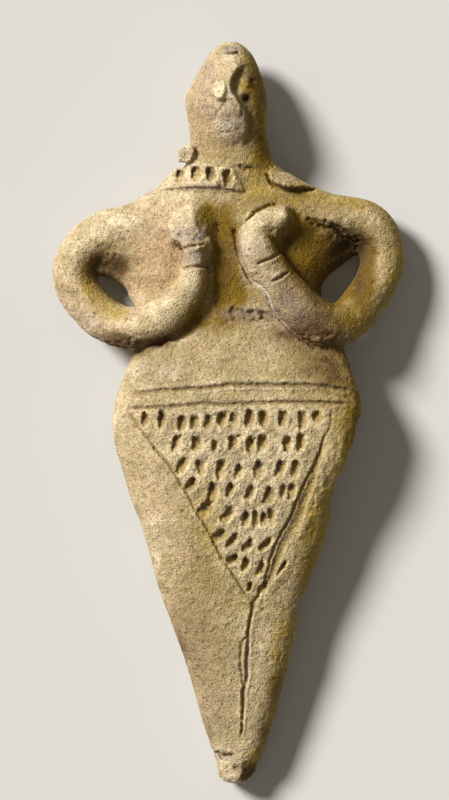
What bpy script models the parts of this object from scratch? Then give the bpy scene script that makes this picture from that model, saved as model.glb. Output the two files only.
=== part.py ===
"""Clay figurine of a woman, modelled by hand in one piece and fired.

Metres, +Z up. It lies on its back: the head points along +Y, the front faces
+Z, and the flat pressed into the back rests on z = 0. Left and right are the
viewer's. Free form is written in millimetres of the reference figure, which
is REF_LENGTH long, and is scaled from the driving dimensions below.
"""

import math

import bmesh
import bpy
import numpy as np
from mathutils import Matrix, Vector
from mathutils.bvhtree import BVHTree

MM = 0.001

# Driving dimensions of the whole figure.
LENGTH = 0.200
ELBOW_SPAN = 0.0944
HIP_WIDTH = 0.0670
HEAD_WIDTH = 0.0213
BODY_DEPTH = 0.0230
HEAD_DEPTH = 0.0265
BACK_FLAT = 0.0008

# Rolled and applied clay.
ARM_COIL = 0.0118
WRIST_COIL = 0.0078
BREAST_WIDTH = 0.0132
BREAST_RISE = 0.0110
EYE_LENGTH = 0.0055
EYE_WIDTH = 0.0040
EYE_RISE = 0.0012
NOSE_WIDTH = 0.0042
MUZZLE_WIDTH = 0.0112
MUZZLE_RISE = 0.0014
NECKLACE_WIDTH = 0.0058
NECKLACE_RISE = 0.0011
STUB_COIL = 0.0032

# Cut and pressed marks.
LINE_WIDTH = 0.0016
LINE_DEPTH = 0.0009
JAB_LENGTH = 0.0042
JAB_WIDTH = 0.0021
JAB_DEPTH = 0.0020
JAB_PITCH = 0.0047
JAB_ROW_PITCH = 0.0064
CHEST_STEP = 0.0012

# How fine the clay is worked out, and how far it is thinned for the solid.
VOXEL = 0.00055
MOST_TRIANGLES = 8600
RING_POINTS = 64
RING_STEP = 0.0015
SNAP = 0.00004

REF_LENGTH = 200.0
REF_SPAN = 94.4
REF_HIPS = 67.0
REF_HEAD = 21.3
REF_DEPTH = 23.0
REF_HEAD_DEPTH = 26.5

# Metres for each reference millimetre, by the part of the figure.
ALONG = LENGTH / REF_LENGTH
ACROSS = ELBOW_SPAN / REF_SPAN
HIPS = HIP_WIDTH / REF_HIPS
FACE = HEAD_WIDTH / REF_HEAD
DEEP = BODY_DEPTH / REF_DEPTH
HEAD_DEEP = HEAD_DEPTH / REF_HEAD_DEPTH

# Sections of the body, bottom to top, in reference millimetres:
# height, left edge, right edge, front, back, roundness of the front.
LEG_SECTIONS = (
    (-100.4, -0.6, 3.2, 6.0, 2.6, 2.0),
    (-97.2, -3.4, 7.8, 8.2, 1.2, 2.2),
    (-92.8, -4.6, 9.4, 11.6, 0.4, 2.4),
    (-83.0, -7.3, 12.1, 13.2, -0.2, 2.4),
    (-67.0, -11.7, 16.3, 15.4, -0.6, 2.4),
    (-50.8, -17.7, 20.3, 17.8, -0.8, 2.4),
    (-34.6, -22.3, 25.8, 20.4, -0.8, 2.5),
    (-18.4, -27.9, 29.9, 22.2, -0.8, 2.5),
    (-6.0, -31.4, 33.9, 23.0, -0.8, 2.5),
    (1.5, -30.9, 35.8, 23.0, -0.8, 2.5),
    (9.0, -28.6, 34.4, 22.4, -0.8, 2.4),
    (17.5, -25.4, 31.2, 20.8, -0.8, 2.4),
)
CHEST_SECTIONS = (
    (28.0, -25.6, 27.0, 18.4, -0.8, 2.4),
    (36.0, -30.0, 26.4, 17.0, -0.8, 2.4),
    (46.0, -31.0, 31.0, 16.4, -0.7, 2.4),
    (53.5, -30.0, 34.0, 15.8, -0.5, 2.3),
    (58.4, -23.0, 29.5, 15.6, 0.2, 2.3),
    (62.0, -16.6, 20.5, 16.2, 1.4, 2.2),
)
HEAD_SECTIONS = (
    (66.5, -11.8, 13.1, 17.6, 2.6, 2.0),
    (71.5, -10.3, 10.6, 18.4, 3.0, 2.0),
    (76.0, -10.4, 10.1, 20.4, 2.2, 2.0),
    (80.0, -10.9, 10.2, 21.6, 1.4, 1.8),
    (84.0, -11.3, 10.1, 22.6, 1.0, 1.65),
    (88.5, -9.9, 9.3, 22.0, 1.6, 1.65),
    (93.0, -7.6, 7.8, 20.0, 3.4, 1.7),
    (97.0, -5.0, 5.8, 17.4, 6.0, 1.9),
    (100.1, -1.8, 2.4, 13.6, 9.2, 2.0),
)
BACK_ROUNDNESS = 3.0
WIDEST_AT = 0.46

# Arm coils from the shoulder to the hand, in reference millimetres:
# x, y, height of the middle, width and depth as shares of the coil.
LEFT_ARM = (
    (-17.0, 49.6, 9.0, 1.15, 1.00),
    (-27.6, 48.6, 8.8, 1.26, 1.00),
    (-36.2, 45.6, 8.4, 1.24, 0.98),
    (-41.0, 40.4, 8.4, 1.09, 0.96),
    (-41.2, 34.4, 8.8, 1.00, 0.96),
    (-37.6, 28.6, 9.8, 0.98, 0.98),
    (-32.0, 24.2, 12.2, 0.98, 0.98),
    (-24.8, 22.7, 15.6, 0.97, 0.94),
    (-17.0, 25.6, 18.2, 0.92, 0.90),
    (-12.6, 30.0, 19.4, 0.84, 0.84),
    (-10.3, 35.0, 20.2, 0.74, 0.76),
)
RIGHT_ARM = (
    (17.0, 52.0, 9.0, 1.15, 1.00),
    (29.0, 51.6, 8.8, 1.25, 1.00),
    (38.0, 49.4, 8.6, 1.20, 0.98),
    (41.5, 43.4, 8.6, 1.05, 0.96),
    (40.8, 36.8, 9.0, 1.01, 0.98),
    (37.2, 30.4, 10.2, 0.98, 1.00),
    (33.0, 25.2, 12.6, 0.98, 1.02),
    (27.8, 23.2, 15.4, 1.00, 1.00),
    (22.0, 25.4, 17.8, 1.02, 1.00),
    (17.2, 29.6, 19.0, 1.00, 0.98),
    (12.8, 35.0, 20.0, 0.90, 0.92),
    (10.0, 39.4, 20.6, 0.84, 0.88),
)
# Hands, in reference millimetres: x, y, height, width and depth as shares
# of the wrist.
LEFT_HAND = (
    (-10.0, 35.0, 20.2, 0.94, 0.94),
    (-9.5, 38.6, 20.8, 0.84, 0.90),
    (-9.4, 42.0, 21.6, 0.80, 0.92),
    (-9.4, 45.0, 22.0, 0.96, 0.96),
)
RIGHT_HAND = (
    (9.6, 39.0, 20.8, 1.16, 1.10),
    (7.8, 42.6, 21.6, 1.24, 1.16),
    (7.4, 46.6, 22.4, 1.18, 1.10),
    (9.6, 49.8, 22.4, 0.96, 0.96),
)
# The ridge of the nose, its thickness as shares of the nose.
NOSE = (
    (1.6, 94.4, 16.6, 1.7, 1.0),
    (1.0, 90.4, 19.8, 1.4, 1.1),
    (0.4, 86.6, 22.2, 1.0, 1.2),
    (0.3, 83.2, 22.6, 1.1, 1.2),
    (0.6, 79.0, 20.8, 1.8, 1.2),
)
ARM_ROUNDNESS = 2.25

LEFT_BREAST = (-10.6, 50.6)
RIGHT_BREAST = (13.4, 49.6)
MUZZLE = (0.4, 77.6)
LEFT_EYE = (-2.3, 86.9)
RIGHT_EYE = (4.4, 88.0)
CROWN_SCAR = (0.4, 97.2)
# Hollows of the face: x, y, radius and depth.
EYE_HOLLOWS = ((4.4, 86.2, 4.4, 1.6), (-3.6, 86.4, 4.0, 0.5))
NECKLACE = ((-17.8, 61.4), (-12.0, 62.7), (-5.0, 63.0), (2.6, 62.6))
NECKLACE_JABS = ((-13.0, 64.0), (-8.9, 64.0), (-4.9, 64.0), (-0.6, 63.4))
# The stubs of something broken off beside the neck, as arm coils are given.
LEFT_STUB = ((-12.0, 69.6, 15.0, 1.5, 1.3), (-10.2, 69.0, 15.4, 1.5, 1.3))
RIGHT_STUB = ((11.8, 63.6, 15.4, 1.0, 0.9), (16.5, 62.6, 15.0, 1.0, 0.9), (22.0, 60.8, 13.8, 0.7, 0.7))

# Lines drawn with a point, in reference millimetres.
BELT_TOP = ((-25.1, 5.1), (-18.0, 5.3), (-1.0, 7.0), (13.5, 7.2), (34.0, 5.4))
BELT_FOOT = ((-27.0, 0.9), (-17.9, 1.5), (-5.9, 2.4), (13.5, 2.6), (29.4, 2.3))
LEFT_SIDE = ((-27.0, 0.9), (-18.4, -11.6), (-7.8, -27.6), (5.8, -49.4))
RIGHT_SIDE = (
    (27.4, 1.6),
    (27.1, -5.0),
    (23.4, -13.4),
    (17.8, -25.2),
    (12.6, -38.0),
    (7.0, -50.0),
)
LEG_LINE = ((6.2, -49.8), (5.3, -58.0), (4.5, -72.0), (3.0, -88.0))
CHEST_EDGE = ((-24.0, 16.1), (-13.2, 19.4), (-3.7, 24.2), (4.0, 25.3), (11.5, 25.0))
HAND_LINES = (
    ((-12.6, 38.4), (-6.0, 38.8)),
    ((-12.4, 44.6), (-6.2, 44.8)),
    ((6.0, 39.4), (13.8, 42.6)),
    ((9.6, 34.0), (15.7, 37.6)),
)


def clear_scene():
    for obj in list(bpy.data.objects):
        bpy.data.objects.remove(obj, do_unlink=True)


def smooth_rows(rows, step):
    """The rows with more between them, on a smooth curve through each column."""
    rows = np.array(rows, float)
    slopes = np.gradient(rows, axis=0)
    slopes[0] = rows[1] - rows[0]
    slopes[-1] = rows[-1] - rows[-2]
    made = []
    for i in range(len(rows) - 1):
        gap = np.linalg.norm(rows[i + 1][:3] - rows[i][:3])
        count = max(2, round(gap / step))
        for t in np.arange(count) / count:
            start = (1 + 2 * t) * (1 - t) ** 2 * rows[i] + t * (1 - t) ** 2 * slopes[i]
            end = t * t * (3 - 2 * t) * rows[i + 1] - t * t * (1 - t) * slopes[i + 1]
            made.append(start + end)
    made.append(rows[-1])
    return np.array(made)


def power(value, exponent):
    return math.copysign(abs(value) ** exponent, value)


def closed_loft(rings, name):
    """A mesh through the rings of points, closed at both ends by a fan."""
    mesh = bmesh.new()
    loops = [[mesh.verts.new(point) for point in ring] for ring in rings]
    for one, two in zip(loops, loops[1:]):
        for i in range(len(one)):
            j = (i + 1) % len(one)
            mesh.faces.new((one[i], one[j], two[j], two[i]))
    for ring in (loops[0], loops[-1]):
        middle = mesh.verts.new(sum((v.co for v in ring), Vector()) / len(ring))
        for i in range(len(ring)):
            mesh.faces.new((ring[i], ring[(i + 1) % len(ring)], middle))
    bmesh.ops.recalc_face_normals(mesh, faces=mesh.faces)
    return object_from(mesh, name)


def object_from(mesh, name):
    data = bpy.data.meshes.new(name)
    mesh.to_mesh(data)
    mesh.free()
    obj = bpy.data.objects.new(name, data)
    bpy.context.scene.collection.objects.link(obj)
    return obj


def body_sections():
    """The sections in metres, each part of the body scaled by its own sizes."""
    rows = []
    for sections, wide, deep in (
        (LEG_SECTIONS, HIPS, DEEP),
        (CHEST_SECTIONS, ACROSS, DEEP),
        (HEAD_SECTIONS, FACE, HEAD_DEEP),
    ):
        for y, left, right, front, back, roundness in sections:
            sunk = back * MM if back > 0 else -BACK_FLAT * back / -0.8
            rows.append((y * ALONG, left * wide, right * wide, front * deep, sunk, roundness))
    return rows


def make_body():
    """Legs, trunk, neck and head as one lump of clay."""
    rows = np.array(body_sections())
    rings = []
    for y, left, right, front, back, roundness in smooth_rows(rows, RING_STEP):
        middle = (left + right) / 2
        half = (right - left) / 2
        side = back + WIDEST_AT * (front - back)
        ring = []
        for i in range(RING_POINTS):
            angle = 2 * math.pi * i / RING_POINTS
            up = math.sin(angle) > 0
            ease = 2 / (roundness if up else BACK_ROUNDNESS)
            reach = front - side if up else side - back
            across = middle + half * power(math.cos(angle), ease)
            ring.append((across, y, side + reach * power(math.sin(angle), ease)))
        rings.append(ring)
    return closed_loft(rings, "body")


def make_coil(path, thickness, name):
    """A rolled coil of clay along the path, rounded off at both ends."""
    rows = [
        (x * ACROSS, y * ALONG, z * DEEP, wide * thickness / 2, deep * thickness / 2)
        for x, y, z, wide, deep in path
    ]
    rows = smooth_rows(rows, RING_STEP)
    points = [Vector(row[:3]) for row in rows]
    rings = []
    for i, (point, row) in enumerate(zip(points, rows)):
        ahead = (points[min(i + 1, len(points) - 1)] - points[max(i - 1, 0)]).normalized()
        side = ahead.cross(Vector((0, 0, 1))).normalized()
        up = side.cross(ahead)
        rings.append(coil_ring(point, side, up, row[3], row[4]))
        if i in (0, len(rows) - 1):
            out = ahead if i else -ahead
            caps = []
            for turn in (20, 40, 60, 80):
                lift = math.sin(math.radians(turn)) * row[4]
                keep = math.cos(math.radians(turn))
                caps.append(coil_ring(point + out * lift, side, up, row[3] * keep, row[4] * keep))
            rings = rings + caps if i else caps[::-1] + rings
    return closed_loft(rings, name)


def coil_ring(point, side, up, wide, deep):
    ring = []
    for i in range(RING_POINTS // 2):
        angle = 4 * math.pi * i / RING_POINTS
        across = power(math.cos(angle), 2 / ARM_ROUNDNESS)
        above = power(math.sin(angle), 2 / ARM_ROUNDNESS)
        ring.append(point + side * across * wide + up * above * deep)
    return ring


def make_lump(place, size, tilt, turn, name):
    """A ball of clay pressed to size, tipped about X and turned about Z."""
    mesh = bmesh.new()
    bmesh.ops.create_icosphere(mesh, subdivisions=4, radius=0.5)
    turned = Matrix.Rotation(math.radians(turn), 4, "Z")
    tipped = Matrix.Rotation(math.radians(tilt), 4, "X")
    sized = Matrix.Diagonal((*size, 1))
    mesh.transform(Matrix.Translation(place) @ turned @ tipped @ sized)
    return object_from(mesh, name)


def front_finder(obj):
    """A function that gives the height of the clay's front at a place."""
    tree = BVHTree.FromObject(obj, bpy.context.evaluated_depsgraph_get())
    above = 2 * (BODY_DEPTH + HEAD_DEPTH)

    def height(x, y):
        hit = tree.ray_cast(Vector((x, y, above)), Vector((0, 0, -1)))[0]
        return hit.z if hit else 0.0

    return height


def fuse(pieces, rounds, name):
    """The pieces pressed into one skin, its joins smoothed over."""
    joined = bmesh.new()
    for piece in pieces:
        joined.from_mesh(piece.data)
        bpy.data.objects.remove(piece, do_unlink=True)
    obj = object_from(joined, name)
    remesh = obj.modifiers.new("skin", "REMESH")
    remesh.mode = "VOXEL"
    remesh.voxel_size = VOXEL
    smooth = obj.modifiers.new("joins", "SMOOTH")
    smooth.factor = 0.5
    smooth.iterations = rounds
    return apply_modifiers(obj)


def apply_modifiers(obj):
    graph = bpy.context.evaluated_depsgraph_get()
    made = bpy.data.meshes.new_from_object(obj.evaluated_get(graph))
    obj.modifiers.clear()
    obj.data = made
    return obj


def make_nose():
    """The pinched ridge of the nose, down the middle of the face."""
    path = [(x * FACE / ACROSS, y, z * HEAD_DEEP / DEEP, wide, deep) for x, y, z, wide, deep in NOSE]
    return make_coil(path, NOSE_WIDTH, "nose")


def make_knobs(height):
    """The muzzle, and two breasts that stand out and droop a little."""
    x = MUZZLE[0] * FACE
    y = MUZZLE[1] * ALONG
    size = (MUZZLE_WIDTH, MUZZLE_WIDTH, MUZZLE_RISE * 5)
    place = Vector((x, y, height(x, y) - MUZZLE_RISE * 1.5))
    made = [make_lump(place, size, 0, 0, "muzzle")]
    for (x, y), name in ((LEFT_BREAST, "left_breast"), (RIGHT_BREAST, "right_breast")):
        x = x * ACROSS
        y = y * ALONG
        size = (BREAST_WIDTH, BREAST_WIDTH * 0.92, BREAST_RISE * 1.7)
        place = Vector((x, y, height(x, y) + BREAST_RISE * 0.2))
        made.append(make_lump(place, size, 24, 0, name))
    return made


def make_applied(height):
    """Eye pellets, the necklace strip and the broken stubs beside the neck."""
    made = []
    for (x, y), name in ((LEFT_EYE, "left_eye"), (RIGHT_EYE, "right_eye")):
        made.append(make_pellet(height, x * FACE, y * ALONG, name))
    strip = []
    for x, y in NECKLACE:
        z = height(x * ACROSS, y * ALONG) - NECKLACE_RISE * 0.2
        strip.append((x, y, z / DEEP, 1.0, 2.4 * NECKLACE_RISE / NECKLACE_WIDTH))
    made.append(make_coil(strip, NECKLACE_WIDTH, "necklace"))
    for path, name in ((LEFT_STUB, "left_stub"), (RIGHT_STUB, "right_stub")):
        made.append(make_coil(path, STUB_COIL, name))
    x, y = CROWN_SCAR
    place = Vector((x * FACE, y * ALONG, height(x * FACE, y * ALONG)))
    made.append(make_lump(place, (STUB_COIL, STUB_COIL * 0.5, STUB_COIL * 0.5), 0, 0, "crown_scar"))
    return made


def make_pellet(height, x, y, name):
    """A flat pellet that lies along the slope of the face."""
    fall = height(x - EYE_WIDTH / 2, y) - height(x + EYE_WIDTH / 2, y)
    place = Vector((x, y, height(x, y) + EYE_RISE * 0.3))
    pellet = make_lump(Vector(), (EYE_WIDTH, EYE_LENGTH, EYE_RISE * 2.4), 0, 0, name)
    lean = Matrix.Rotation(math.atan2(fall, EYE_WIDTH), 4, "Y")
    pellet.data.transform(Matrix.Translation(place) @ lean)
    return pellet


def line_distance(x, y, points, wide):
    """Distance of every place from the drawn line, and which side it is on."""
    line = [Vector((px * wide, py * ALONG)) for px, py in smooth_rows(points, 3.0)]
    nearest = np.full(len(x), np.inf)
    side = np.zeros(len(x))
    for one, two in zip(line, line[1:]):
        step = two - one
        share = ((x - one.x) * step.x + (y - one.y) * step.y) / step.length_squared
        share = np.clip(share, 0, 1)
        away_x = x - one.x - share * step.x
        away_y = y - one.y - share * step.y
        away = np.hypot(away_x, away_y)
        closer = away < nearest
        nearest = np.where(closer, away, nearest)
        side = np.where(closer, np.sign(step.x * away_y - step.y * away_x), side)
    return nearest, side


def line_mark(x, y, points, wide):
    away = line_distance(x, y, points, wide)[0]
    return LINE_DEPTH * np.clip(1 - (2 * away / LINE_WIDTH) ** 2, 0, 1)


def jab_mark(x, y, place, lean):
    """An upright slot, deepest at its upper end, where the tool went in."""
    turn = math.radians(lean)
    away_x = x - place[0]
    away_y = y - place[1]
    up = (away_x * math.sin(turn) + away_y * math.cos(turn)) / (JAB_LENGTH / 2)
    over = (away_x * math.cos(turn) - away_y * math.sin(turn)) / (JAB_WIDTH / 2)
    inside = np.clip(1.5 * (1.1 - (np.abs(up) ** 3 + np.abs(over) ** 3)), 0, 1)
    return JAB_DEPTH * inside * (0.75 + 0.25 * np.clip(up, -1, 1))


def line_x(points, y):
    """Where the drawn line crosses the height y, both in reference millimetres."""
    points = sorted(points, key=lambda point: point[1])
    return float(np.interp(y, [p[1] for p in points], [p[0] for p in points]))


def jab_places():
    """Rows of jabs that fill the triangle between its two drawn sides."""
    margin = (LINE_WIDTH + JAB_WIDTH) / 2 + 0.0014
    top = BELT_FOOT[2][1] * ALONG - JAB_LENGTH / 2 - LINE_WIDTH
    foot = LEFT_SIDE[-1][1] * ALONG + JAB_LENGTH / 2
    row = 0
    while top - row * JAB_ROW_PITCH > foot:
        y = top - row * JAB_ROW_PITCH
        left = line_x(LEFT_SIDE, y / ALONG) * HIPS + margin
        right = line_x(RIGHT_SIDE, y / ALONG) * HIPS - margin
        count = max(1, int((right - left) / JAB_PITCH) + 1)
        slack = (right - left) - (count - 1) * JAB_PITCH
        for i in range(count):
            x = left + slack / 2 + i * JAB_PITCH
            yield (x, y), 6 + 4 * row
        row += 1


def sink(clay, depth_at):
    """Presses the front in by depth_at(x, y), less where it slopes away."""
    data = clay.data
    places = np.empty(len(data.vertices) * 3)
    data.vertices.foreach_get("co", places)
    places = places.reshape(-1, 3)
    facing = np.array([vertex.normal.z for vertex in data.vertices])
    sunk = depth_at(places[:, 0], places[:, 1])
    places[:, 2] -= sunk * np.clip(facing / 0.4, 0, 1)
    data.vertices.foreach_set("co", places.ravel())
    data.update()


def hollow_depth(x, y):
    """The hollows beside the nose."""
    sunk = np.zeros(len(x))
    for px, py, radius, depth in EYE_HOLLOWS:
        away = np.hypot(x - px * FACE, y - py * ALONG) / (radius * FACE)
        sunk = sunk + depth * HEAD_DEEP * np.clip(1 - away ** 2, 0, 1) ** 2
    return sunk


def mark_depth(x, y):
    """The drawn lines, the jabs and the step where the chest clay ends."""
    sunk = np.zeros(len(x))
    for points in (BELT_TOP, BELT_FOOT, LEFT_SIDE, RIGHT_SIDE, LEG_LINE):
        sunk = np.maximum(sunk, line_mark(x, y, points, HIPS))
    for points in HAND_LINES:
        sunk = np.maximum(sunk, line_mark(x, y, points, ACROSS))
    for place, lean in jab_places():
        sunk = np.maximum(sunk, jab_mark(x, y, place, lean))
    for px, py in NECKLACE_JABS:
        sunk = np.maximum(sunk, 0.6 * jab_mark(x, y, (px * ACROSS, py * ALONG), 4))
    away, side = line_distance(x, y, CHEST_EDGE, ACROSS)
    return sunk + CHEST_STEP * (side > 0) * np.clip(1 - away / (6 * CHEST_STEP), 0, 1)


def thin_out(obj):
    """Fewer and larger triangles where the clay is plain."""
    obj.data.calc_loop_triangles()
    thin = obj.modifiers.new("thin", "DECIMATE")
    thin.ratio = MOST_TRIANGLES / len(obj.data.loop_triangles)
    return apply_modifiers(obj)


def press_flat(obj):
    """The back pressed flat on z = 0, and the figure centred over the origin."""
    mesh = bmesh.new()
    mesh.from_mesh(obj.data)
    level = {"plane_co": (0, 0, 0), "plane_no": (0, 0, 1)}
    everything = mesh.verts[:] + mesh.edges[:] + mesh.faces[:]
    bmesh.ops.bisect_plane(mesh, geom=everything, dist=SNAP, clear_inner=True, **level)
    rim = [edge for edge in mesh.edges if edge.is_boundary]
    bmesh.ops.holes_fill(mesh, edges=rim, sides=0)
    xs = [vertex.co.x for vertex in mesh.verts]
    ys = [vertex.co.y for vertex in mesh.verts]
    middle = Vector((-(min(xs) + max(xs)) / 2, -(min(ys) + max(ys)) / 2, 0))
    bmesh.ops.translate(mesh, vec=middle, verts=mesh.verts)
    bmesh.ops.recalc_face_normals(mesh, faces=mesh.faces)
    mesh.to_mesh(obj.data)
    mesh.free()


def paint(obj):
    clay = bpy.data.materials.new("fired_clay")
    clay.use_nodes = True
    shader = clay.node_tree.nodes["Principled BSDF"]
    shader.inputs["Base Color"].default_value = (0.50, 0.40, 0.25, 1)
    shader.inputs["Roughness"].default_value = 0.9
    obj.data.materials.clear()
    obj.data.materials.append(clay)


def main():
    clear_scene()
    body = make_body()
    arms = [
        make_nose(),
        make_coil(LEFT_ARM, ARM_COIL, "left_arm"),
        make_coil(RIGHT_ARM, ARM_COIL, "right_arm"),
        make_coil(LEFT_HAND, WRIST_COIL, "left_hand"),
        make_coil(RIGHT_HAND, WRIST_COIL, "right_hand"),
    ]
    knobs = make_knobs(front_finder(body))
    clay = fuse([body, *arms, *knobs], 8, "figurine")
    sink(clay, hollow_depth)
    clay = fuse([clay, *make_applied(front_finder(clay))], 2, "figurine")
    sink(clay, mark_depth)
    clay = thin_out(clay)
    press_flat(clay)
    paint(clay)


main()
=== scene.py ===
"""Looks of the clay figurine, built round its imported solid.

Metres, +Z up, in the solid's frame: the figure lies on its back with the head
along +Y and the front along +Z. Places are in millimetres of a figure 200 long,
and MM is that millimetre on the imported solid. Left and right are the viewer's.
"""

import math

import bpy
import numpy as np
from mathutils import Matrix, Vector, kdtree
from mathutils.bvhtree import BVHTree


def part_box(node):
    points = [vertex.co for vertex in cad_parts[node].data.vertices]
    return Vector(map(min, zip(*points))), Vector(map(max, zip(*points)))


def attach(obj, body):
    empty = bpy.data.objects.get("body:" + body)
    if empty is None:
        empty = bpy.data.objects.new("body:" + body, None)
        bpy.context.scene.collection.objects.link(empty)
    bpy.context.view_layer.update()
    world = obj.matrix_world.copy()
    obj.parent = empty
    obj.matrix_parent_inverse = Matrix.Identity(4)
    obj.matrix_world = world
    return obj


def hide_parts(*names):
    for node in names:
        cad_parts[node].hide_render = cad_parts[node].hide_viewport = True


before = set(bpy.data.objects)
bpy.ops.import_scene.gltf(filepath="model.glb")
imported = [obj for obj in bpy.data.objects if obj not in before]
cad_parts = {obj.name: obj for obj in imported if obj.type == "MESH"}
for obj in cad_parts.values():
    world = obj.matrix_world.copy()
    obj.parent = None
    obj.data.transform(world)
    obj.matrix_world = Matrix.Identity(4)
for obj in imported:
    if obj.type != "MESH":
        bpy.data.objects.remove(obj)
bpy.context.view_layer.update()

LOW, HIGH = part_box("figurine")
LENGTH = HIGH[1] - LOW[1]
MM = LENGTH / 200.0

# Fineness of the modelled clay, and how often its joins are smoothed over.
SKIN = 0.34 * MM
SKIN_ROUNDS = 3
ROUGH_SKIN = 1.4 * SKIN
ROUGH_ROUNDS = 7
FINE_TRIANGLES = 196000
SECTION_POINTS = 72
SECTION_STEP = 1.6
COIL_ROUNDNESS = 8
COIL_STEPS = 10
PELLET_POINTS = 40
LINE_STEP = 1.5
# Points this near the plane of the flat back, in metres, count as on it.
PLANE_REACH = 0.00002
SEED = 7

# Kinds of unevenness: how far it goes either way, the size of its lumps, a seed.
RAGGED = (1, 0.9, 1)
LUMPY = (1, 2.6, 2)
PALM_WAVES = (0.2, 11, 3)
FINGER_WAVES = (0.12, 5, 4)
TORN_LUMPS = (0.32, 1.9, 5)
GRIT = (0.07, 0.75, 6)
CRUMBS = (1, 1.15, 8)
STAIN_DRIFT = (0.4, 4, 11)
STAIN_FRAY = (0.4, 1.6, 12)
WAVER_ACROSS = (0.22, 2.2, 21)
WAVER_ALONG = (0.22, 2.2, 22)
# How far lumps go in worked clay, and raggedness and crumbs in torn clay.
WORKED_LUMPS = 0.05
TORN_RAGGED = 0.22
CRUMB_RISE = 0.62
# Large numbers that scatter the lumps, and the largest that comes out.
PLACE_FACTORS = (73856093, 19349663, 83492791)
SEED_FACTOR = 40503
LAST_FACTOR = 1274126177
LARGEST = 0x7FFFFFFF

# Sections of the body, tip to crown: y, left edge, right edge, front, back, the front's fullness.
BODY_SECTIONS = (
    (-100.3, -1, 4.6, 9.4, 2, 2.6),
    (-98.4, -2.7, 6.9, 11.2, 1.2, 2.6),
    (-93.4, -4.1, 9, 12.2, 0.4, 2.6),
    (-83, -7.4, 12.2, 13.6, -0.2, 2.9),
    (-67, -11.9, 16.4, 15.6, -0.6, 3.1),
    (-50.8, -17.9, 20.4, 18, -0.8, 3.1),
    (-34.6, -22.5, 25.8, 20.6, -0.8, 3.1),
    (-18.4, -27.9, 30.2, 22.3, -0.8, 3.2),
    (-6, -31.6, 34.2, 23, -0.8, 3.2),
    (1.5, -31, 35.8, 23, -0.8, 3.2),
    (9, -28.6, 33.9, 22.4, -0.8, 3),
    (17.5, -25.4, 31.2, 20.8, -0.8, 2.6),
    (26, -25, 27.4, 19, -0.8, 2.6),
    (31, -26.8, 25.2, 18, -0.8, 2.6),
    (33.4, -27.8, 25.2, 17.6, -0.8, 2.6),
    (35.6, -30.6, 26, 17.5, -0.8, 2.6),
    (38, -37.2, 28.4, 17.4, -0.8, 2.6),
    (43, -39, 35, 17.3, -0.8, 2.6),
    (48, -38, 38, 17.2, -0.7, 2.6),
    (53.5, -31, 35, 16.8, -0.5, 2.4),
    (58.4, -23.2, 29.5, 16.4, 0.2, 2.3),
    (62, -16.6, 20.5, 16.8, 1.4, 2.2),
    (66.5, -11.8, 13.1, 17.9, 2.6, 2.1),
    (71.5, -10.4, 10.7, 18.6, 3, 2.1),
    (76, -10.4, 10.2, 21.4, 2.2, 1.9),
    (80, -11, 10.2, 24.2, 1.4, 1.6),
    (84, -11.8, 10.1, 26, 1, 1.4),
    (88.5, -9.9, 9.3, 25, 1.6, 1.4),
    (93, -7.6, 7.8, 21.2, 3.4, 1.6),
    (97, -5.1, 5.9, 17.6, 6, 1.9),
    (100, -1.9, 2.5, 13.6, 9.2, 2),
)
# A fullness of 2 is round, less is pinched and more is squarer.
BACK_FULLNESS = 3.0
# How much fuller the front's right side is at the hip, by y.
HIP_FULLNESS = ((-26, 0), (-8, 3), (7, 3), (16, 0))
# How far the face is pushed to the right, by y, as a share of its half width.
FACE_SKEW = ((68, 0), (73, 0.24), (78, 0.38), (82.5, 0.26), (88, 0.16), (95, 0.06), (100, 0))

# Rolled coils, shoulder to wrist: x, y, height, thickness.
LEFT_ARM = (
    (-17, 49.6, 9, 13), (-27.6, 48.6, 8.8, 14.6), (-36.2, 45.6, 8.4, 14.2), (-41, 40.4, 8.4, 12.7),
    (-41.2, 34.4, 8.8, 11.8), (-37.6, 28.6, 9.8, 11.6), (-32, 24.2, 12.2, 11.6),
    (-24.8, 22.7, 15.6, 11.3), (-17, 25.6, 17.8, 10.8), (-12.6, 30, 18.6, 9.9), (-10, 34.6, 19.2, 8.6),
    (-9.4, 38.4, 19.6, 7.6),
)
RIGHT_ARM = (
    (17, 52, 9, 13.4), (29, 51.6, 8.8, 14.6), (38, 49.2, 8.6, 14), (41.4, 43.4, 8.6, 12.2),
    (40.8, 36.8, 9, 11.9), (37.2, 30.4, 10.2, 11.7), (33, 25.4, 12.6, 11.6), (27.8, 23.3, 15.4, 11.8),
    (22, 25.6, 17.6, 12), (17.2, 29.8, 18.8, 11.8), (12.8, 35, 19.8, 10.8), (10, 39.4, 20.4, 10.2),
)
LEFT_HAND = (
    (-9.4, 37.6, 19.6, 6.6), (-9.3, 40.4, 20, 6.1), (-9.3, 43, 20.4, 5.9), (-9.3, 45.4, 20.6, 7.4),
)
RIGHT_HAND = (
    (9.8, 39, 20.6, 10), (7.6, 42.6, 20.8, 10.4), (6.9, 46.4, 20.4, 9.6), (9, 49.6, 19.6, 7.6),
    (12.6, 52, 18.4, 6.2),
)

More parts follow.
